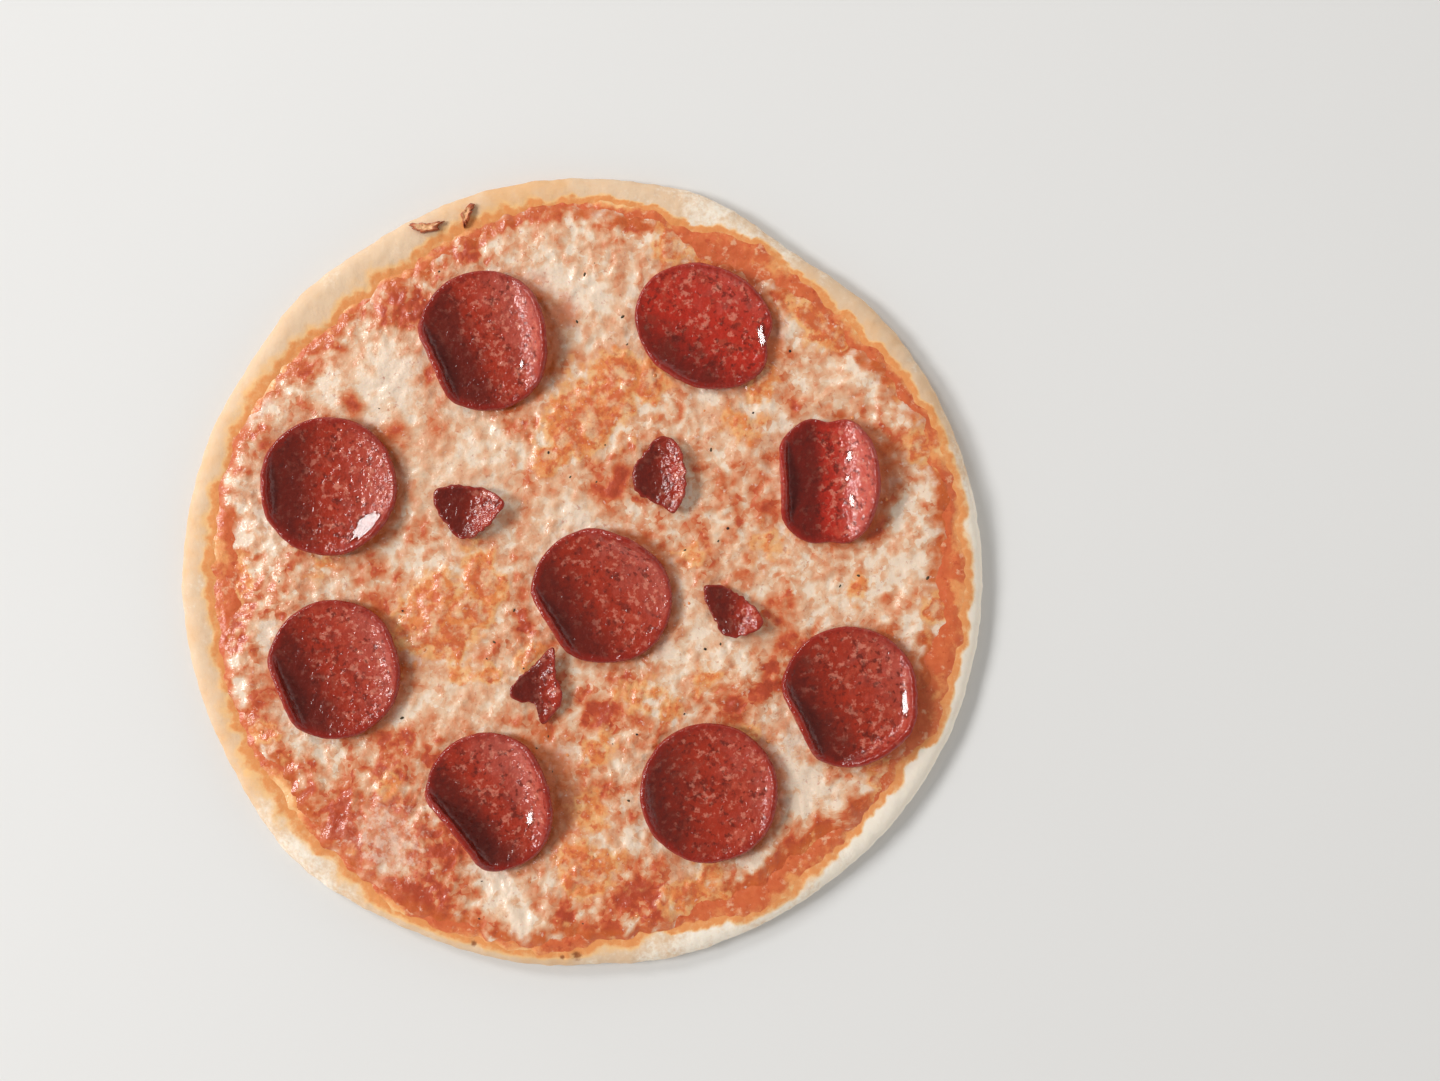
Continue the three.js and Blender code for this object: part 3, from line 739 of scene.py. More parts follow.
def doughMaterial():
    # thin wheat dough, stone baked: matt and floury, pale cream with golden tints, stained by the oil of
    # the sauce
    return makeMaterial("bakedWheatDough", {
        "IOR": 1.45, "Subsurface Weight": 0.1, "Subsurface Radius": (1.0, 0.7, 0.4),
        "Subsurface Scale": 1.5 * mm, "Specular IOR Level": 0.3,
    }, ["#e4caab", "#dab592", 9, 4.0], [4, 0.62, 0.85], [[2.4, 0.25], [0.7, 0.08]], [
        ("golden", 5.0, 0.35, 0.2, 1.0, "#e0ad78", 0.8),
        # floury white, laid on most thickly at the rim's right as painted light
        ("flour", 1.4, 0.5, 0.3, 0.9, "#f5ecdd", 0.85),
        ("stain", 3.4, 0.4, 0.2, 0.8, "#efbb7c", 0.85),
        ("stain", 2.4, 0.5, 0.6, 1.05, "#e08a4a", 0.85),
        ("burn", 1.6, 0.5, 0.3, 0.9, "#8a4a24", 0.9),
        ("under", 7.0, 0.9, 0.55, 1.25, "#c98d54", 0.75),
        ("under", 3.5, 0.9, 1.15, 1.6, "#8f5a30", 0.7),
    ])


def sausageMaterial():
    # cured pork and beef sausage, sliced and baked: dark red, mottled with fat, wet with its own oil;
    # painted shade darkens the side under the first wall, and a pinkish painted sheen lightens the side
    # across
    return makeMaterial("bakedCuredSausage", {
        "IOR": 1.45, "Subsurface Weight": 0.05, "Subsurface Radius": (1.0, 0.25, 0.15),
        "Subsurface Scale": 0.8 * mm, "Specular IOR Level": 0.15, "Coat Weight": 0.75,
        "Coat Roughness": 0.05, "Coat IOR": 1.47,
    }, ["#8a1f08", "#ae321a", 9, 4.0], [2, 0.28, 0.45], [[2.2, 0.65], [0.9, 0.14]], [
        ("fresh", 4.0, 0.2, 0.1, 1.0, "#b82414", 0.8),
        (None, 5.0, 1.0, 0.0, 0.4, "#b84e38", 0.75),
        (None, 4.0, 1.0, 0.05, 0.4, "#6e1a0c", 0.75),
        # painted sheen: pinkish on the side across from the first roll's wall
        ("pool", 5.0, 0.9, 0.0, -1.2, "#c8695a", 0.6),
        (None, 2.4, 1.0, 0.06, 0.3, "#d6856f", 0.6),
        (None, 2.1, 1.0, 0.08, 0.3, "#5a1206", 0.7),
        # painted shade: darkest towards the first roll's wall
        ("pool", 5.0, 0.3, -0.05, 0.5, "#560d02", 0.85),
        ("rim", 4.0, 0.1, 0.86, 0.98, "#8e1a0a", 0.7),
    ])


def toastedMaterial():
    # a shred of cheese that browned on the dry rim: brown at its edges, orange in the middle
    return makeMaterial("toastedMozzarella", {
        "IOR": 1.45, "Coat Weight": 0.25, "Coat Roughness": 0.25, "Coat IOR": 1.47,
    }, ["#efc99a", "#dd9054", 2.5, 3.0], [1.5, 0.35, 0.5], [[1.0, 0.15]], [
        ("rim", 2.5, 0.6, 0.3, 0.85, "#b4502a", 0.9),
        ("rim", 2.0, 0.7, 0.7, 1.2, "#7a2a14", 0.9),
    ])


def oilMaterial():
    # clear fat run out of the sausage: a smooth wet film with a breath of orange
    return makeMaterial("renderedFat", {"IOR": 1.47, "Transmission Weight": 1.0},
                        ["#fff4e6", "#fbe0c4", 2, 2.0], [2, 0.02, 0.12], [[1.6, 0.03]])


def bitMaterial(name, entry):
    # dried herb, cracked pepper or a bead of fat: two tones, each kind with its own gloss
    return makeMaterial(name + "Finish", {"IOR": 1.45}, [*entry["tones"], 0.9, 2.0],
                        [1, entry["rough"], entry["rough"] + 0.1], [[0.5, 0.04]])


# tomato sauce

def makeSauce(material):
    bearing = np.arange(sauce["around"]) * 360 / sauce["around"] - 45
    inner, outer = cheeseEdge(bearing) - sauce["hidden"], sauceReach(bearing)
    body, thin, rings = Body(), [], []
    for share in np.linspace(0, 1, sauce["rings"]) ** 0.8:
        reach = blend(inner, outer, share)
        rings.append(body.addPoints(onRing(reach, bearing, sauceSurface(reach, bearing))))
        x, y = flatAt(reach, bearing)
        # thick red sauce runs to the edge in some places and thins out to amber in others
        thick = 0.5 + 0.5 * smoothStep(swells(x, y, 14, 74), -0.1, 0.4)
        thin.append(smoothStep(reach, cheeseEdge(bearing) - 1, outer) * thick
                    + 0.8 * patchField(x, y, sauce["amber"]))
    for lower, upper in zip(rings[1:], rings):
        body.joinRings(lower, upper)
    level = dough["thickness"]
    body.closeWith(rings[0], [0, 0, level + layerGap + tomato["thickness"]], True)
    foot = rings[-1]
    for inset in (0.6, 14):
        reach = outer - inset
        ring = body.addPoints(onRing(reach, bearing, doughTop(reach, bearing) - 2 * sauce["sunk"]))
        body.joinRings(ring, foot)
        foot = ring
    body.closeWith(foot, [0, 0, level - 2 * sauce["sunk"]], False)
    thin.append(np.zeros(body.count - sauce["around"] * sauce["rings"]))
    return body.makeObject("tomatoSauce", material, {"thin": np.concatenate(thin)})


# crust

def makeCrust(material):
    bearing = np.arange(crust["around"]) * 360 / crust["around"] - 45
    edge, wave = outline(bearing), doughWave(bearing)
    body, paints, rings = Body(), [], []

    def addRing(inset, height, relief, side):
        flat = onRing(edge - inset + wave * side, bearing, 0)
        fine, look = crustLook(flat[:, 0], flat[:, 1])
        flat[:, 2] = height + fine * relief
        paints.append(look)
        return body.addPoints(flat)

    widest, inset = dough["widest"], dough["crownInset"]
    count = int((dough["radius"] - crust["hiddenRadius"] - inset) / crust["topStep"])
    for share in np.linspace(0, 1, count):
        at = blend(edge - crust["hiddenRadius"], inset, share)
        rings.append(addRing(at, doughTop(edge - at, bearing), 1, share))
    for turn in np.linspace(0, math.pi / 2, crust["roundSteps"])[1:]:
        at = inset * (1 - math.sin(turn))
        height = widest + (doughTop(edge - inset, bearing) - widest) * math.cos(turn)
        rings.append(addRing(at, height, math.cos(turn), 1))
    for turn in np.linspace(0, math.pi / 2, crust["footSteps"])[1:]:
        at = dough["footInset"] * (1 - math.cos(turn))
        rings.append(addRing(at, widest * (1 - math.sin(turn)), 0, 1))
    for lower, upper in zip(rings[1:], rings):
        body.joinRings(lower, upper)
    body.closeWith(rings[0], [0, 0, dough["thickness"]], True)
    paints.append({name: [0.0] for name in paints[0]})

    unitX, unitY, squares, rim = discGrid(crust["underSteps"])
    share, turn = polar(unitX, unitY)
    reach = share * (outline(turn) - dough["footInset"] - 1)
    x, y = flatAt(reach, turn)
    hollows = smoothStep(roughness(x, y, 11, 101), 0, 1.6) * smoothStep(share, 1, 0.95)
    under = body.addPoints(np.stack([x, y, crust["underRelief"] * hollows], -1))
    body.addFaces(under[squares][:, ::-1])
    body.joinRings(under[rim], rings[-1])
    _, look = crustLook(x, y)
    for name in ("stain", "golden", "burn"):
        look[name] = np.zeros(len(x))
    look["under"] = 0.9 - 1.2 * hollows
    look["flour"] = 0.3 + 0.5 * roughness(x, y, 15, 105)
    paints.append(look)
    return body.makeObject("doughCrust", material,
                           {name: np.concatenate([look[name] for look in paints]) for name in paints[0]})


# pepperoni slices by Geometry Nodes

rollNames, dentNames = ["Bearing", "Start", "Radius", "Lean"], ["Bearing", "Width", "Depth"]
rollNumbers, dentNumbers = (1, 2, 3), (1, 2)
rollSockets = [f"Roll {k} {name}" for k in rollNumbers for name in rollNames]
dentSockets = [f"Dent {k} {name}" for k in dentNumbers for name in dentNames]


def newTree(name, gives, takes):
    # a node tree with its output and its named inputs, each group of them [kind of socket, names]
    tree = bpy.data.node_groups.new(name, "GeometryNodeTree")
    for way, kind, titles in [("OUTPUT", *gives)] + [("INPUT", *group) for group in takes]:
        for title in titles:
            tree.interface.new_socket(title, in_out=way, socket_type="NodeSocket" + kind)
    add = partial(addNode, tree)
    return tree, add, add("NodeGroupInput").node.outputs


def endTree(add, geometry, material):
    # smooth and real geometry with its material is what a tree gives
    geometry = add("GeometryNodeSetShadeSmooth", {"Geometry": geometry})
    geometry = add("GeometryNodeRealizeInstances", {"Geometry": geometry})
    geometry = add("GeometryNodeSetMaterial", {"Geometry": geometry, "Material": material})
    add("NodeGroupOutput", {"Geometry": geometry})


def bendGroup():
    # a point of the flat slice, bent: past each roll's line the slice curls up round the roll's radius and,
    # once it leans as far as it goes, runs on straight
    tree, add, given = newTree("bendSlice", ["Vector", ["Point"]], [
        ["Vector", ["Point"]], ["Float", ["Cup", "Half Length"] + rollSockets]])
    point = given["Point"]
    far = add("vector LENGTH", [point], "Value")
    dish = add("math POWER", (add("math DIVIDE", (far, given["Half Length"])), 3.0))
    dish = add("math MULTIPLY", (given["Cup"], dish))
    point = add("vector ADD", (point, add("combine", {"Z": dish})))
    for k in rollNumbers:
        bearing, start, radius, lean = (given[f"Roll {k} {name}"] for name in rollNames)
        outward = add("combine", (add("math COSINE", [bearing]), add("math SINE", [bearing])))
        along = add("vector DOT_PRODUCT", (point, outward), "Value")
        past = add("math MAXIMUM", (add("math SUBTRACT", (along, start)), 0.0))
        turned = add("math MINIMUM", (add("math DIVIDE", (past, radius)), lean))
        straight = add("math SUBTRACT", (past, add("math MULTIPLY", (turned, radius))))
        sine, cosine = add("math SINE", [turned]), add("math COSINE", [turned])
        travel = add("math ADD", (add("math MULTIPLY", (radius, sine)),
                                  add("math MULTIPLY", (straight, cosine))))
        rise = add("math MULTIPLY", (radius, add("math SUBTRACT", (1.0, cosine))))
        rise = add("math ADD", (rise, add("math MULTIPLY", (straight, sine))))
        shift = add("vector SCALE", {0: outward, "Scale": add("math SUBTRACT", (travel, past))})
        shift = add("vector ADD", (shift, add("combine", {"Z": rise})))
        point = add("vector ADD", (point, shift))
    add("NodeGroupOutput", {"Point": point})
    return tree


def sliceTree():
    # a slice from an even ball: flattened to a disc with a round edge, then bent, pebbled and placed
    bending = bendGroup()
    tree, add, given = newTree("pepperoniSlice", ["Geometry", ["Geometry"]], [
        ["Vector", ["Middle"]],
        ["Float", ["Half Length", "Half Width", "Length Bearing", "Thickness", "Round Share", "Edge Band",
                   "Pebble", "Pebble Height", "Crinkle", "Waver", "Freshness", "Pooling", "Seed", "Cup"]],
        ["Float", rollSockets + dentSockets], ["Material", ["Material"]]])
    geometry = add("GeometryNodeMeshIcoSphere", {"Radius": 1.0, "Subdivisions": 6})
    x, y, z = add("separate", [add("GeometryNodeInputPosition")]).node.outputs
    band = given["Edge Band"]
    side = add("math MAXIMUM", (add("math MINIMUM", (add("math DIVIDE", (z, band)), 1.0)), -1.0))
    ring = add("math SQRT", [add("math ADD", (add("math MULTIPLY", (x, x)), add("math MULTIPLY", (y, y))))])
    flatRing = add("math SQRT", [add("math SUBTRACT", (1.0, add("math MULTIPLY", (band, band))))])
    inner = add("math MINIMUM", (add("math DIVIDE", (ring, flatRing)), 1.0))
    bulge = add("math SUBTRACT", (1.0, add("math MULTIPLY", (side, side))))
    bulge = add("math SQRT", [add("math MAXIMUM", (bulge, 0.0))])
    share = add("math MULTIPLY", (inner, add("math SUBTRACT", (1.0, given["Round Share"]))))
    share = add("math ADD", (share, add("math MULTIPLY", (bulge, given["Round Share"]))))

    # the flat slice's outline: an ellipse that wavers, with its dents
    bearing = add("math ARCTAN2", (y, x))
    local = add("math SUBTRACT", (bearing, given["Length Bearing"]))
    squares = []
    for wave, half in (("COSINE", "Half Length"), ("SINE", "Half Width")):
        part = add("math DIVIDE", (add("math " + wave, [local]), given[half]))
        squares.append(add("math POWER", (add("math ABSOLUTE", [part]), 2.0)))
    reach = add("math DIVIDE", (1.0, add("math SQRT", [add("math ADD", squares)])))
    cosine, sine = add("math COSINE", [bearing]), add("math SINE", [bearing])
    heading = add("combine", (cosine, sine, given["Seed"]))
    waver = add("noise", {"Vector": heading, "Scale": 2.2, "Detail": 3.0})
    reach = add("math MULTIPLY_ADD", (add("math SUBTRACT", (waver, 0.5)), given["Waver"], reach))
    for k in dentNumbers:
        at, width, depth = (given[f"Dent {k} {name}"] for name in dentNames)
        off = add("math ADD", (add("math SUBTRACT", (bearing, at)), math.pi))
        off = add("math SUBTRACT", (add("math FLOORED_MODULO", (off, fullTurn)), math.pi))
        off = add("math DIVIDE", (off, width))
        fall = add("math EXPONENT", [add("math MULTIPLY", (add("math MULTIPLY", (off, off)), -1.0))])
        reach = add("math MULTIPLY_ADD", (fall, depth, reach))
    out = add("math MULTIPLY", (share, reach))
    point = add("combine", (add("math MULTIPLY", (out, cosine)), add("math MULTIPLY", (out, sine))))

    # bent at the point and just beside it, which gives the way the bent slice faces there
    step = 0.05 * mm
    inputs = {name: given[name] for name in ["Cup", "Half Length"] + rollSockets}
    bent = [add("GeometryNodeGroup", {**inputs, "Point": add("vector ADD", (point, offset))},
                node_tree=bending) for offset in ((0, 0, 0), (step, 0, 0), (0, step, 0))]
    beside = [add("vector SUBTRACT", (end, bent[0])) for end in bent[1:]]
    normal = add("vector NORMALIZE", [add("vector CROSS_PRODUCT", beside)])

    # pebbles of meat all over, and crinkles that run in from the shrunken rim
    grain = add("noise", {"Vector": add("vector ADD", (point, given["Middle"])),
                          "Scale": add("math DIVIDE", (1.0, given["Pebble"])), "Detail": 2.0})
    folds = add("noise", {"Vector": heading, "Scale": 7.0, "Detail": 2.0})
    relief = add("math MULTIPLY", (add("math SUBTRACT", (grain, 0.5)), given["Pebble Height"]))
    nearRim = add("math MULTIPLY", (given["Crinkle"], add("math POWER", (inner, 6.0))))
    folded = add("math MULTIPLY", (add("math SUBTRACT", (folds, 0.5)), nearRim))
    half = add("math MULTIPLY", (side, add("math MULTIPLY", (given["Thickness"], 0.5))))
    offset = add("math ADD", (half, add("math ADD", (add("math MULTIPLY", (relief, side)), folded))))
    placed = add("vector ADD", (bent[0], add("vector SCALE", {0: normal, "Scale": offset})))
    placed = add("vector ADD", (placed, given["Middle"]))

    # painted shade and sheen on the upper face: 1 under the first roll's wall, painted darker, to -1 at the
    # side across, painted pinkish as a sheen
    toWall = add("math COSINE", [add("math SUBTRACT", (bearing, given["Roll 1 Bearing"]))])
    pool = add("math MULTIPLY", (add("math MULTIPLY", (toWall, inner)), given["Pooling"]))
    pool = add("math MULTIPLY", (pool, add("math MAXIMUM", (side, 0.0))))
    for name, value in (("rim", share), ("pool", pool), ("fresh", given["Freshness"])):
        geometry = add("GeometryNodeStoreNamedAttribute", {
            "Geometry": geometry, "Name": name, "Value": value}, data_type="FLOAT", domain="POINT")
    geometry = add("GeometryNodeSetPosition", {"Geometry": geometry, "Position": placed})
    endTree(add, geometry, given["Material"])
    return tree


def runTree(name, tree, values, start=None):
    # a plain mesh from a tree: its inputs are set before the first look at the result
    carrier = bpy.data.objects.new(name + "Carrier", start or bpy.data.meshes.new(name + "Start"))
    bpy.context.scene.collection.objects.link(carrier)
    modifier = carrier.modifiers.new(name, "NODES")
    modifier.node_group = tree
    sockets = {item.name: item for item in tree.interface.items_tree if item.in_out == "INPUT"}
    for title, value in values.items():
        modifier[sockets[title].identifier] = value
    carrier.update_tag()
    seen = carrier.evaluated_get(bpy.context.evaluated_depsgraph_get())
    mesh = bpy.data.meshes.new_from_object(seen, preserve_all_data_layers=True,
                                           depsgraph=bpy.context.evaluated_depsgraph_get())
    carrier.modifiers.remove(modifier)
    bpy.data.objects.remove(carrier)
    mesh.name = name
    piece = bpy.data.objects.new(name, mesh)
    bpy.context.scene.collection.objects.link(piece)
    return piece


def makeSlices(material):
    tree, pieces = sliceTree(), []
    for number, entry in enumerate(pepperoni["slices"], 1):
        lengths = {"Half Length": entry["half"][0], "Half Width": entry["half"][1], "Cup": entry["cup"],
                   **pepperoni["lengths"]}
        values = {name: length * mm for name, length in lengths.items()}
        values.update({
            "Middle": [v * mm for v in entry["at"]], "Length Bearing": math.radians(entry["turn"]),
            "Round Share": pepperoni["roundShare"], "Edge Band": pepperoni["edgeBand"],
            "Freshness": entry.get("fresh", 0.0), "Pooling": entry["pooled"], "Seed": number * 3.7,
            "Material": material})
        # rolls and dents that a slice doesn't have are ones that do nothing
        rolls = entry["rolls"] + [[0, 1000, 1, 0]] * len(rollNumbers)
        dents = entry.get("dents", []) + [[0, 1, 0]] * len(dentNumbers)
        for k, (bearing, start, radius, lean) in zip(rollNumbers, rolls):
            sizes = (math.radians(bearing), start * mm, radius * mm, math.radians(lean))
            values.update({f"Roll {k} {name}": size for name, size in zip(rollNames, sizes)})
        for k, (bearing, width, depth) in zip(dentNumbers, dents):
            sizes = (math.radians(bearing), math.radians(width), depth * mm)
            values.update({f"Dent {k} {name}": size for name, size in zip(dentNames, sizes)})
        piece = runTree(f"pepperoniSlice{number}", tree, values)
        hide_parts(f"pepperoni_slice_{number}")
        pieces.append(piece)
    return pieces


# torn scraps and toasted shreds

scraps = {
    "steps": 26, "thickness": 2, "torn": 0.6, "fold": 0.4,
    # middle with its lowest height, outline corners, and the side that curls up: [bearing, height]
    "pieces": [
        {"at": [-35.2, 19.2, 9.65], "lift": [340, 2.2],
         "corners": [[-11.2, 6.4], [-4.8, 9], [5.4, 7.6], [11.6, 4.4], [10.4, 0.2], [4, -6.8],
                     [-2.2, -8.6], [-6.2, -5.6], [-10.4, 1]]},
        {"at": [25.2, 31.2, 8.96], "lift": [0, 2.6],
         "corners": [[-1, 12.2], [5, 10.6], [8, 3.6], [8.2, -5], [5, -12.6], [0, -10], [-7.6, -6],
                     [-9, 1.4], [-5, 7]]},
        {"at": [48, -11.6, 9.12], "lift": [330, 2.0],
         "corners": [[-9.4, 7], [-3.8, 8.2], [5, 3.2], [9.6, -2], [9.2, -5.6], [1, -8.8], [-3.4, -7.2],
                     [-7.6, 0]]},
        {"at": [-13.2, -35.4, 8.95], "lift": [20, 2.0],
         "corners": [[4.8, 12.4], [5.8, 3.6], [8, -1.8], [6.6, -7.4], [1.2, -12.4], [-1.4, -6.2],
                     [-7, -5.4], [-9, -0.6], [-1.4, 7]]},
    ],
}
shreds = {
    "steps": 18, "height": 1.0, "ragged": 0.32,
    # middle with its height, half length and half width, bearing of the length, how far it curves
    "pieces": [{"at": [-36.3, 113.75, 9.25], "half": [4.4, 1.7], "turn": 68, "curve": -0.07},
               {"at": [-49.2, 109.45, 9.44], "half": [6.0, 1.8], "turn": 4, "curve": 0.035}],
}


def curveThrough(corners, each=12):
    # a closed Catmull-Rom curve through the corners
    corners = np.array(corners, float)
    a, b, c, d = (np.roll(corners, shift, 0)[:, None] for shift in (1, 0, -1, -2))
    t = (np.arange(each) / each)[None, :, None]
    curve = b + 0.5 * t * (c - a + t * (2 * a - 5 * b + 4 * c - d + t * (3 * (b - c) + d - a)))
    return curve.reshape(-1, 2)


def addLens(body, steps, reachAt, formAt):
    # a flat closed form: an even grid for its top and one for its underside, sharing their rim
    unitX, unitY, squares, rim = discGrid(steps)
    share, bearing = polar(unitX, unitY)
    x, y = flatAt(share * reachAt(bearing), bearing)
    placeX, placeY, top, bottom = formAt(x, y, share)
    upper = body.addPoints(np.stack([placeX, placeY, top], -1))
    inner = np.setdiff1d(np.arange(len(x)), rim)
    lower = upper.copy()
    lower[inner] = body.addPoints(np.stack([placeX, placeY, bottom], -1)[inner])
    body.addFaces(upper[squares])
    body.addFaces(lower[squares][:, ::-1])
    # painted shade towards a piece's left and a painted sheen towards its right
    paints = {"rim": share, "pool": 0.3 - 0.5 * unitX, "fresh": np.full(len(share), 0.2)}
    return {title: np.concatenate([values, values[inner]]) for title, values in paints.items()}


def makeScrap(number, entry, material):
    curve = curveThrough(entry["corners"])
    reach, bearing = polar(*curve.T)
    order = np.argsort(bearing)
    bearing, reach = bearing[order], reach[order]
    atX, atY, floor = entry["at"]
    liftAngle, liftHeight = math.radians(entry["lift"][0]), entry["lift"][1]

    def reachAt(turn):
        x, y = flatAt(10, turn)
        torn = scraps["torn"] * swells(x, y, 2.5, 110 + number)
        return np.interp(turn, bearing, reach, period=360) + torn - 0.3

    def formAt(x, y, share):
        along = x * math.cos(liftAngle) + y * math.sin(liftAngle)
        lift = liftHeight * np.clip(along / 9 + 0.15, 0, 1.2) ** 1.6 + 0.6 * share ** 4
        lift = lift + scraps["fold"] * (roughness(x, y, 5, 120 + number) + 0.6) * share
        half = scraps["thickness"] / 2 * np.sqrt(1 - np.clip(share, 0, 1) ** 6)
        pebbles = 0.1 * swells(x, y, 2.2, 130 + number)
        middle = floor + scraps["thickness"] / 2 + lift
        return atX + x, atY + y, middle + half + pebbles * (share < 0.98), middle - half

    body = Body()
    paints = addLens(body, scraps["steps"], reachAt, formAt)
    piece = body.makeObject(f"pepperoniScrap{number}", material, paints)
    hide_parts(f"pepperoni_scrap_{number}")
    return piece


def makeShred(number, entry, material):
    atX, atY, middle = entry["at"]
    (long, wide), turn = entry["half"], math.radians(entry["turn"])

    def reachAt(bearing):
        x, y = flatAt(2, bearing)
        return 0.95 + shreds["ragged"] * (roughness(x, y, 1.1, 145 + number, 2) - 0.3)

    def formAt(x, y, share):
        along, across = x * long, y * wide + entry["curve"] * (x * long) ** 2
        placeX = atX + along * math.cos(turn) - across * math.sin(turn)
        placeY = atY + along * math.sin(turn) + across * math.cos(turn)
        rim = np.sqrt(1 - np.clip(share, 0, 1) ** 4)
        bump = 0.3 * roughness(placeX, placeY, 1.8, 140 + number) - 0.7 * smoothStep(share, 0.75, 0.2)
        low = doughTop(*polar(placeX, placeY)) - 0.15
        side = blend(low, middle, 0.3)
        high = middle + shreds["height"] + bump
        return placeX, placeY, blend(side, high, rim), blend(side, low, rim)

    body = Body()
    paints = addLens(body, shreds["steps"], reachAt, formAt)
    piece = body.makeObject(f"toastedShred{number}", material, {"rim": paints["rim"]})
    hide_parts(f"toasted_shred_{number}")
    return piece


# oil that the slices' walls hold, bright where it faces the window

pooledOil = {
    "steps": 14, "depth": 1.2,
    # slice, middle, half length and half width, bearing of the length, its rise to the right and to the
    # top, how deep it lies over the meat
    "pools": [[3, -67.2, 15.2, 8.2, 3.2, 50, 0.231, -0.323, 0.65],
              [7, 102.5, -41, 6, 1.2, 90, 0.531, -0.078, 0.3],
              [8, -15.8, -77, 3, 1.3, 75, 0.403, -0.12, 0.35],
              [2, 57, 75, 4.6, 1.4, 95, 0.481, 0.057, 0.35],
              [4, 84.8, 37, 2.4, 1.1, 80, 0.51, 0.013, 0.3],
              [1, -18.4, 66, 1.6, 0.8, 80, 0.4, 0.046, 0.3],
              [4, 85.6, 23, 2.8, 0.9, 95, 0.51, 0.013, 0.3], [4, 84.2, 30, 1.2, 0.7, 60, 0.5, -0.02, 0.3]],
}


def makePooledOil(slicePieces):
    body = Body()
    for on, atX, atY, long, wide, turn, riseX, riseY, deep in pooledOil["pools"]:
        shape, turn = slicePieces[on - 1].data, math.radians(turn)
        ground = BVHTree.FromPolygons([point.co for point in shape.vertices],
                                      [face.vertices for face in shape.polygons])
        drop = ground.ray_cast(Vector((atX * mm, atY * mm, 1)), Vector((0, 0, -1)))[0]

        def reachAt(bearing):
            x, y = flatAt(2, bearing)
            return 1 + 0.5 * swells(x + atX, y + atY, 1.1, 151)

        def formAt(x, y, share):
            # level across the wall, so that the whole pool catches the window, and tucked in at its rim
            placeX = x * long * math.cos(turn) - y * wide * math.sin(turn)
            placeY = x * long * math.sin(turn) + y * wide * math.cos(turn)
            plane = drop.z / mm + riseX * placeX + riseY * placeY
            waves = 0.05 * swells(atX + placeX, atY + placeY, 2.5, 153)
            top = plane + waves + deep - (0.55 + deep) * smoothStep(share, 0.75, 1)
            return atX + placeX, atY + placeY, top, plane - pooledOil["depth"]

        addLens(body, pooledOil["steps"], reachAt, formAt)
    return body.makeObject("pooledOil", oilMaterial())


# small scattered things by Geometry Nodes

scatter = {
    # tones and smoothest finish, the cheese's paints it lies on (everywhere where there are none), and the
    # tree's inputs
    "herbFlecks": {
        "tones": ["#3a2a1c", "#5a5132"], "rough": 0.7, "on": [],
        "inputs": {"Density": 1500.0, "Size": 0.34 * mm, "Spread": 0.5, "Flatness": 0.25, "Length": 1.7,
                   "Seed": 3, "Faces": 1, "Lift": 0.02 * mm, "Wobble": 0.34 * mm, "Wobble Size": 0.5 * mm}},
    "pepperSpecks": {
        "tones": ["#1c1512", "#3a2c24"], "rough": 0.75, "on": [],
        "inputs": {"Density": 700.0, "Size": 0.34 * mm, "Spread": 0.4, "Flatness": 0.4, "Length": 1.2,
                   "Seed": 5, "Faces": 1, "Lift": 0.02 * mm, "Wobble": 0.34 * mm, "Wobble Size": 0.5 * mm}},
    "oilBeads": {
        "tones": ["#cf7440", "#e39a62"], "rough": 0.08, "on": ["toast", "oil"],
        "inputs": {"Density": 9000.0, "Size": 0.45 * mm, "Spread": 0.5, "Flatness": 0.5, "Length": 1.1,
                   "Seed": 13, "Faces": 2, "Lift": -0.05 * mm, "Wobble": 0.3 * mm,
                   "Wobble Size": 0.6 * mm}},
}
scatterSteps = 90  # squares from the ground's middle to its edge


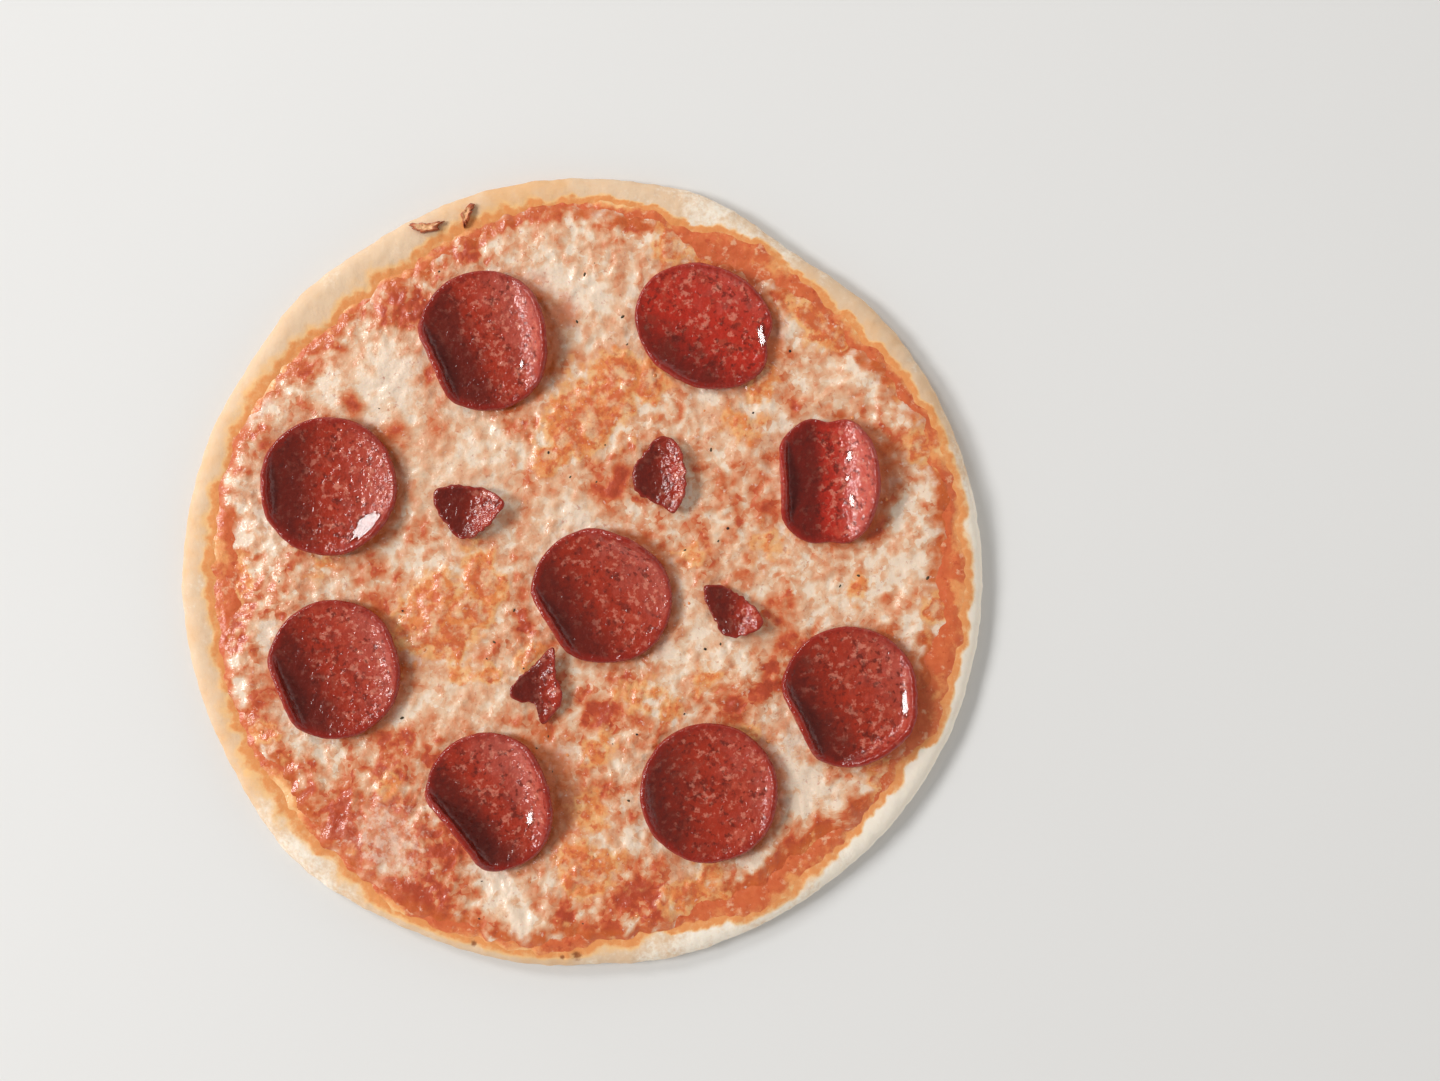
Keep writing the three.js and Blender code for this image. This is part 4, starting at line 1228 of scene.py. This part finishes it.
def scatterTree():
    # bits on the ground's faces, as dense as its weight says, each turned and sized at random
    tree, add, given = newTree("scatteredBits", ["Geometry", ["Geometry"]], [
        ["Geometry", ["Geometry"]],
        ["Float", ["Density", "Size", "Spread", "Flatness", "Length", "Lift", "Wobble", "Wobble Size"]],
        ["Int", ["Seed", "Faces"]], ["Material", ["Material"]]])
    seed = given["Seed"]
    weight = add("GeometryNodeInputNamedAttribute", {"Name": "weight"}, data_type="FLOAT")
    points = add("GeometryNodeDistributePointsOnFaces", {
        "Mesh": given["Geometry"], "Density": add("math MULTIPLY", (weight, given["Density"])),
        "Seed": seed}).node.outputs
    bit = add("GeometryNodeMeshIcoSphere", {"Radius": 1.0, "Subdivisions": given["Faces"]})
    spin = add("FunctionNodeRandomValue", {"Max": fullTurn, "Seed": seed}, 1, data_type="FLOAT")
    spin = add("FunctionNodeAxisAngleToRotation", {"Axis": (0, 0, 1), "Angle": spin})
    turned = add("FunctionNodeRotateRotation", {"Rotation": points["Rotation"], "Rotate By": spin},
                 rotation_space="LOCAL")
    least, most = (add("math " + way, (1.0, given["Spread"])) for way in ("SUBTRACT", "ADD"))
    size = add("FunctionNodeRandomValue", {2: least, 3: most, "Seed": seed}, 1, data_type="FLOAT")
    size = add("math MULTIPLY", (size, given["Size"]))
    shape = add("combine", (given["Length"], 1.0, given["Flatness"]))
    bits = add("GeometryNodeInstanceOnPoints", {
        "Points": points["Points"], "Instance": bit, "Rotation": turned,
        "Scale": add("vector SCALE", {0: shape, "Scale": size})})
    bits = add("GeometryNodeRealizeInstances", {"Geometry": bits})
    # noise knocks each bit out of round
    noise = add("noise", {"Vector": add("GeometryNodeInputPosition"),
                          "Scale": add("math DIVIDE", (1.0, given["Wobble Size"])), "Detail": 0.0}, "Color")
    knock = add("vector SUBTRACT", (noise, (0.5, 0.5, 0.5)))
    knock = add("vector SCALE", {0: knock, "Scale": given["Wobble"]})
    knock = add("vector MULTIPLY", (knock, (1, 1, 0.25)))
    knock = add("vector ADD", (knock, add("combine", {"Z": given["Lift"]})))
    bits = add("GeometryNodeSetPosition", {"Geometry": bits, "Offset": knock})
    endTree(add, bits, given["Material"])
    return tree


def scatterGround(on):
    # the cheese's upper face as ground to scatter on, weighted by paints; nothing lies under a slice
    unitX, unitY, squares, _ = discGrid(scatterSteps)
    share, bearing = polar(unitX, unitY)
    x, y = flatAt(share * (cheeseEdge(bearing) - 0.5), bearing)
    height, paints = cheeseSurface(x, y)
    weight = np.clip(sum(paints[name] for name in on), 0, 1) if on else np.ones(len(x))
    for entry in pepperoni["slices"]:
        weight = weight * (sliceShare(x, y, entry)[0] > 1.02)
    mesh = bpy.data.meshes.new("scatterGround")
    mesh.from_pydata((np.stack([x, y, height], -1) * mm).tolist(), [], squares.tolist())
    mesh.attributes.new("weight", "FLOAT", "POINT").data.foreach_set("value", weight.astype(np.float32))
    return mesh


def makeScattered():
    tree, pieces = scatterTree(), []
    for name, entry in scatter.items():
        inputs = {**entry["inputs"], "Material": bitMaterial(name, entry)}
        pieces.append(runTree(name, tree, inputs, scatterGround(entry["on"])))
        print(name, len(pieces[-1].data.polygons), "faces")
    return pieces


# the pizza

def makePizza():
    doughPiece = makeCrust(doughMaterial())
    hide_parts("crust")
    print("crust made")
    saucePiece = makeSauce(sauceMaterial())
    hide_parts("sauce")
    cheesePiece = makeCheese(mozzarellaMaterial())
    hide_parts("cheese")
    print("sauce and cheese made")
    sausage = sausageMaterial()
    slicePieces = makeSlices(sausage)
    scrapPieces = [makeScrap(number, entry, sausage) for number, entry in enumerate(scraps["pieces"], 1)]
    print("pepperoni made")
    toasted = toastedMaterial()
    shredPieces = [makeShred(number, entry, toasted) for number, entry in enumerate(shreds["pieces"], 1)]
    bits = makeScattered() + [makePooledOil(slicePieces)]
    slots = [("crust", [doughPiece]), ("sauce", [saucePiece]), ("cheese", [cheesePiece] + shredPieces),
             ("pepperoni", slicePieces + scrapPieces)]
    for slot, pieces in slots:
        for piece in pieces:
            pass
    for piece in [doughPiece, saucePiece, cheesePiece] + slicePieces + scrapPieces + shredPieces + bits:
        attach(piece, "root")
    print("pizza made")


# studio

studio = {
    "floorSize": 6000, "floorDrop": 0.2, "floor": ["#e4e3e1", "#dfdedc", 250, 3.0],
    # sky: strength at the horizon and overhead, and how much stronger it is at the right
    "sky": "#f4f3f1", "skyLow": 1.15, "skyHigh": 0.3, "skyRight": 1.3,
    "cameraAt": [44.1, 10.4, 642], "lens": 50, "sensor": 36,
    # lights, which face the pizza's middle: name, place and size in metres, power in watts
    "lights": [["window", (-2.2, 0.1, 1.9), 0.9, 48], ["windowEnd", (-1.6, 1.5, 1.8), 0.7, 22]],
}


def makeStudio():
    scene = bpy.context.scene
    half, low = studio["floorSize"] / 2 * mm, -studio["floorDrop"] * mm
    mesh = bpy.data.meshes.new("studioFloor")
    corners = [(-half, -half, low), (half, -half, low), (half, half, low), (-half, half, low)]
    mesh.from_pydata(corners, [], [(0, 1, 2, 3)])
    # matt studio paint with a faint mottle: plain and pale, so that only the pizza is looked at
    mesh.materials.append(makeMaterial("matStudioPaint", {"IOR": 1.45, "Specular IOR Level": 0.2},
                                       studio["floor"], [30, 0.7, 0.8], [[3, 0.02]]))
    floor = bpy.data.objects.new("studioFloor", mesh)
    scene.collection.objects.link(floor)

    world = bpy.data.worlds.new("studioSky")
    scene.world = world
    world.use_nodes = True
    background = world.node_tree.nodes["Background"]
    background.inputs["Color"].default_value = linear(studio["sky"])
    add = partial(addNode, world.node_tree)
    across, _, height = add("separate", [add("place", give="Generated")]).node.outputs
    spans = [(height, 0.1, 0.8, studio["skyLow"], studio["skyHigh"]),
             (across, -0.4, 0.6, 1.0, studio["skyRight"])]
    strengths = [add("range", span, interpolation_type="SMOOTHSTEP") for span in spans]
    world.node_tree.links.new(add("math MULTIPLY", strengths), background.inputs["Strength"])

    for name, at, size, power in studio["lights"]:
        lamp = bpy.data.lights.new(name, "AREA")
        lamp.shape, lamp.size, lamp.energy = "DISK", size, power
        light = bpy.data.objects.new(name, lamp)
        scene.collection.objects.link(light)
        light.location = at
        light.rotation_euler = Vector(at).to_track_quat("Z", "Y").to_euler()

    view = bpy.data.cameras.new("photoCamera")
    view.lens, view.sensor_width = studio["lens"], studio["sensor"]
    camera = bpy.data.objects.new("photoCamera", view)
    scene.collection.objects.link(camera)
    camera.location = [v * mm for v in studio["cameraAt"]]
    scene.camera = camera
    scene.view_settings.view_transform = "Standard"
    print("studio made")


makePizza()
makeStudio()
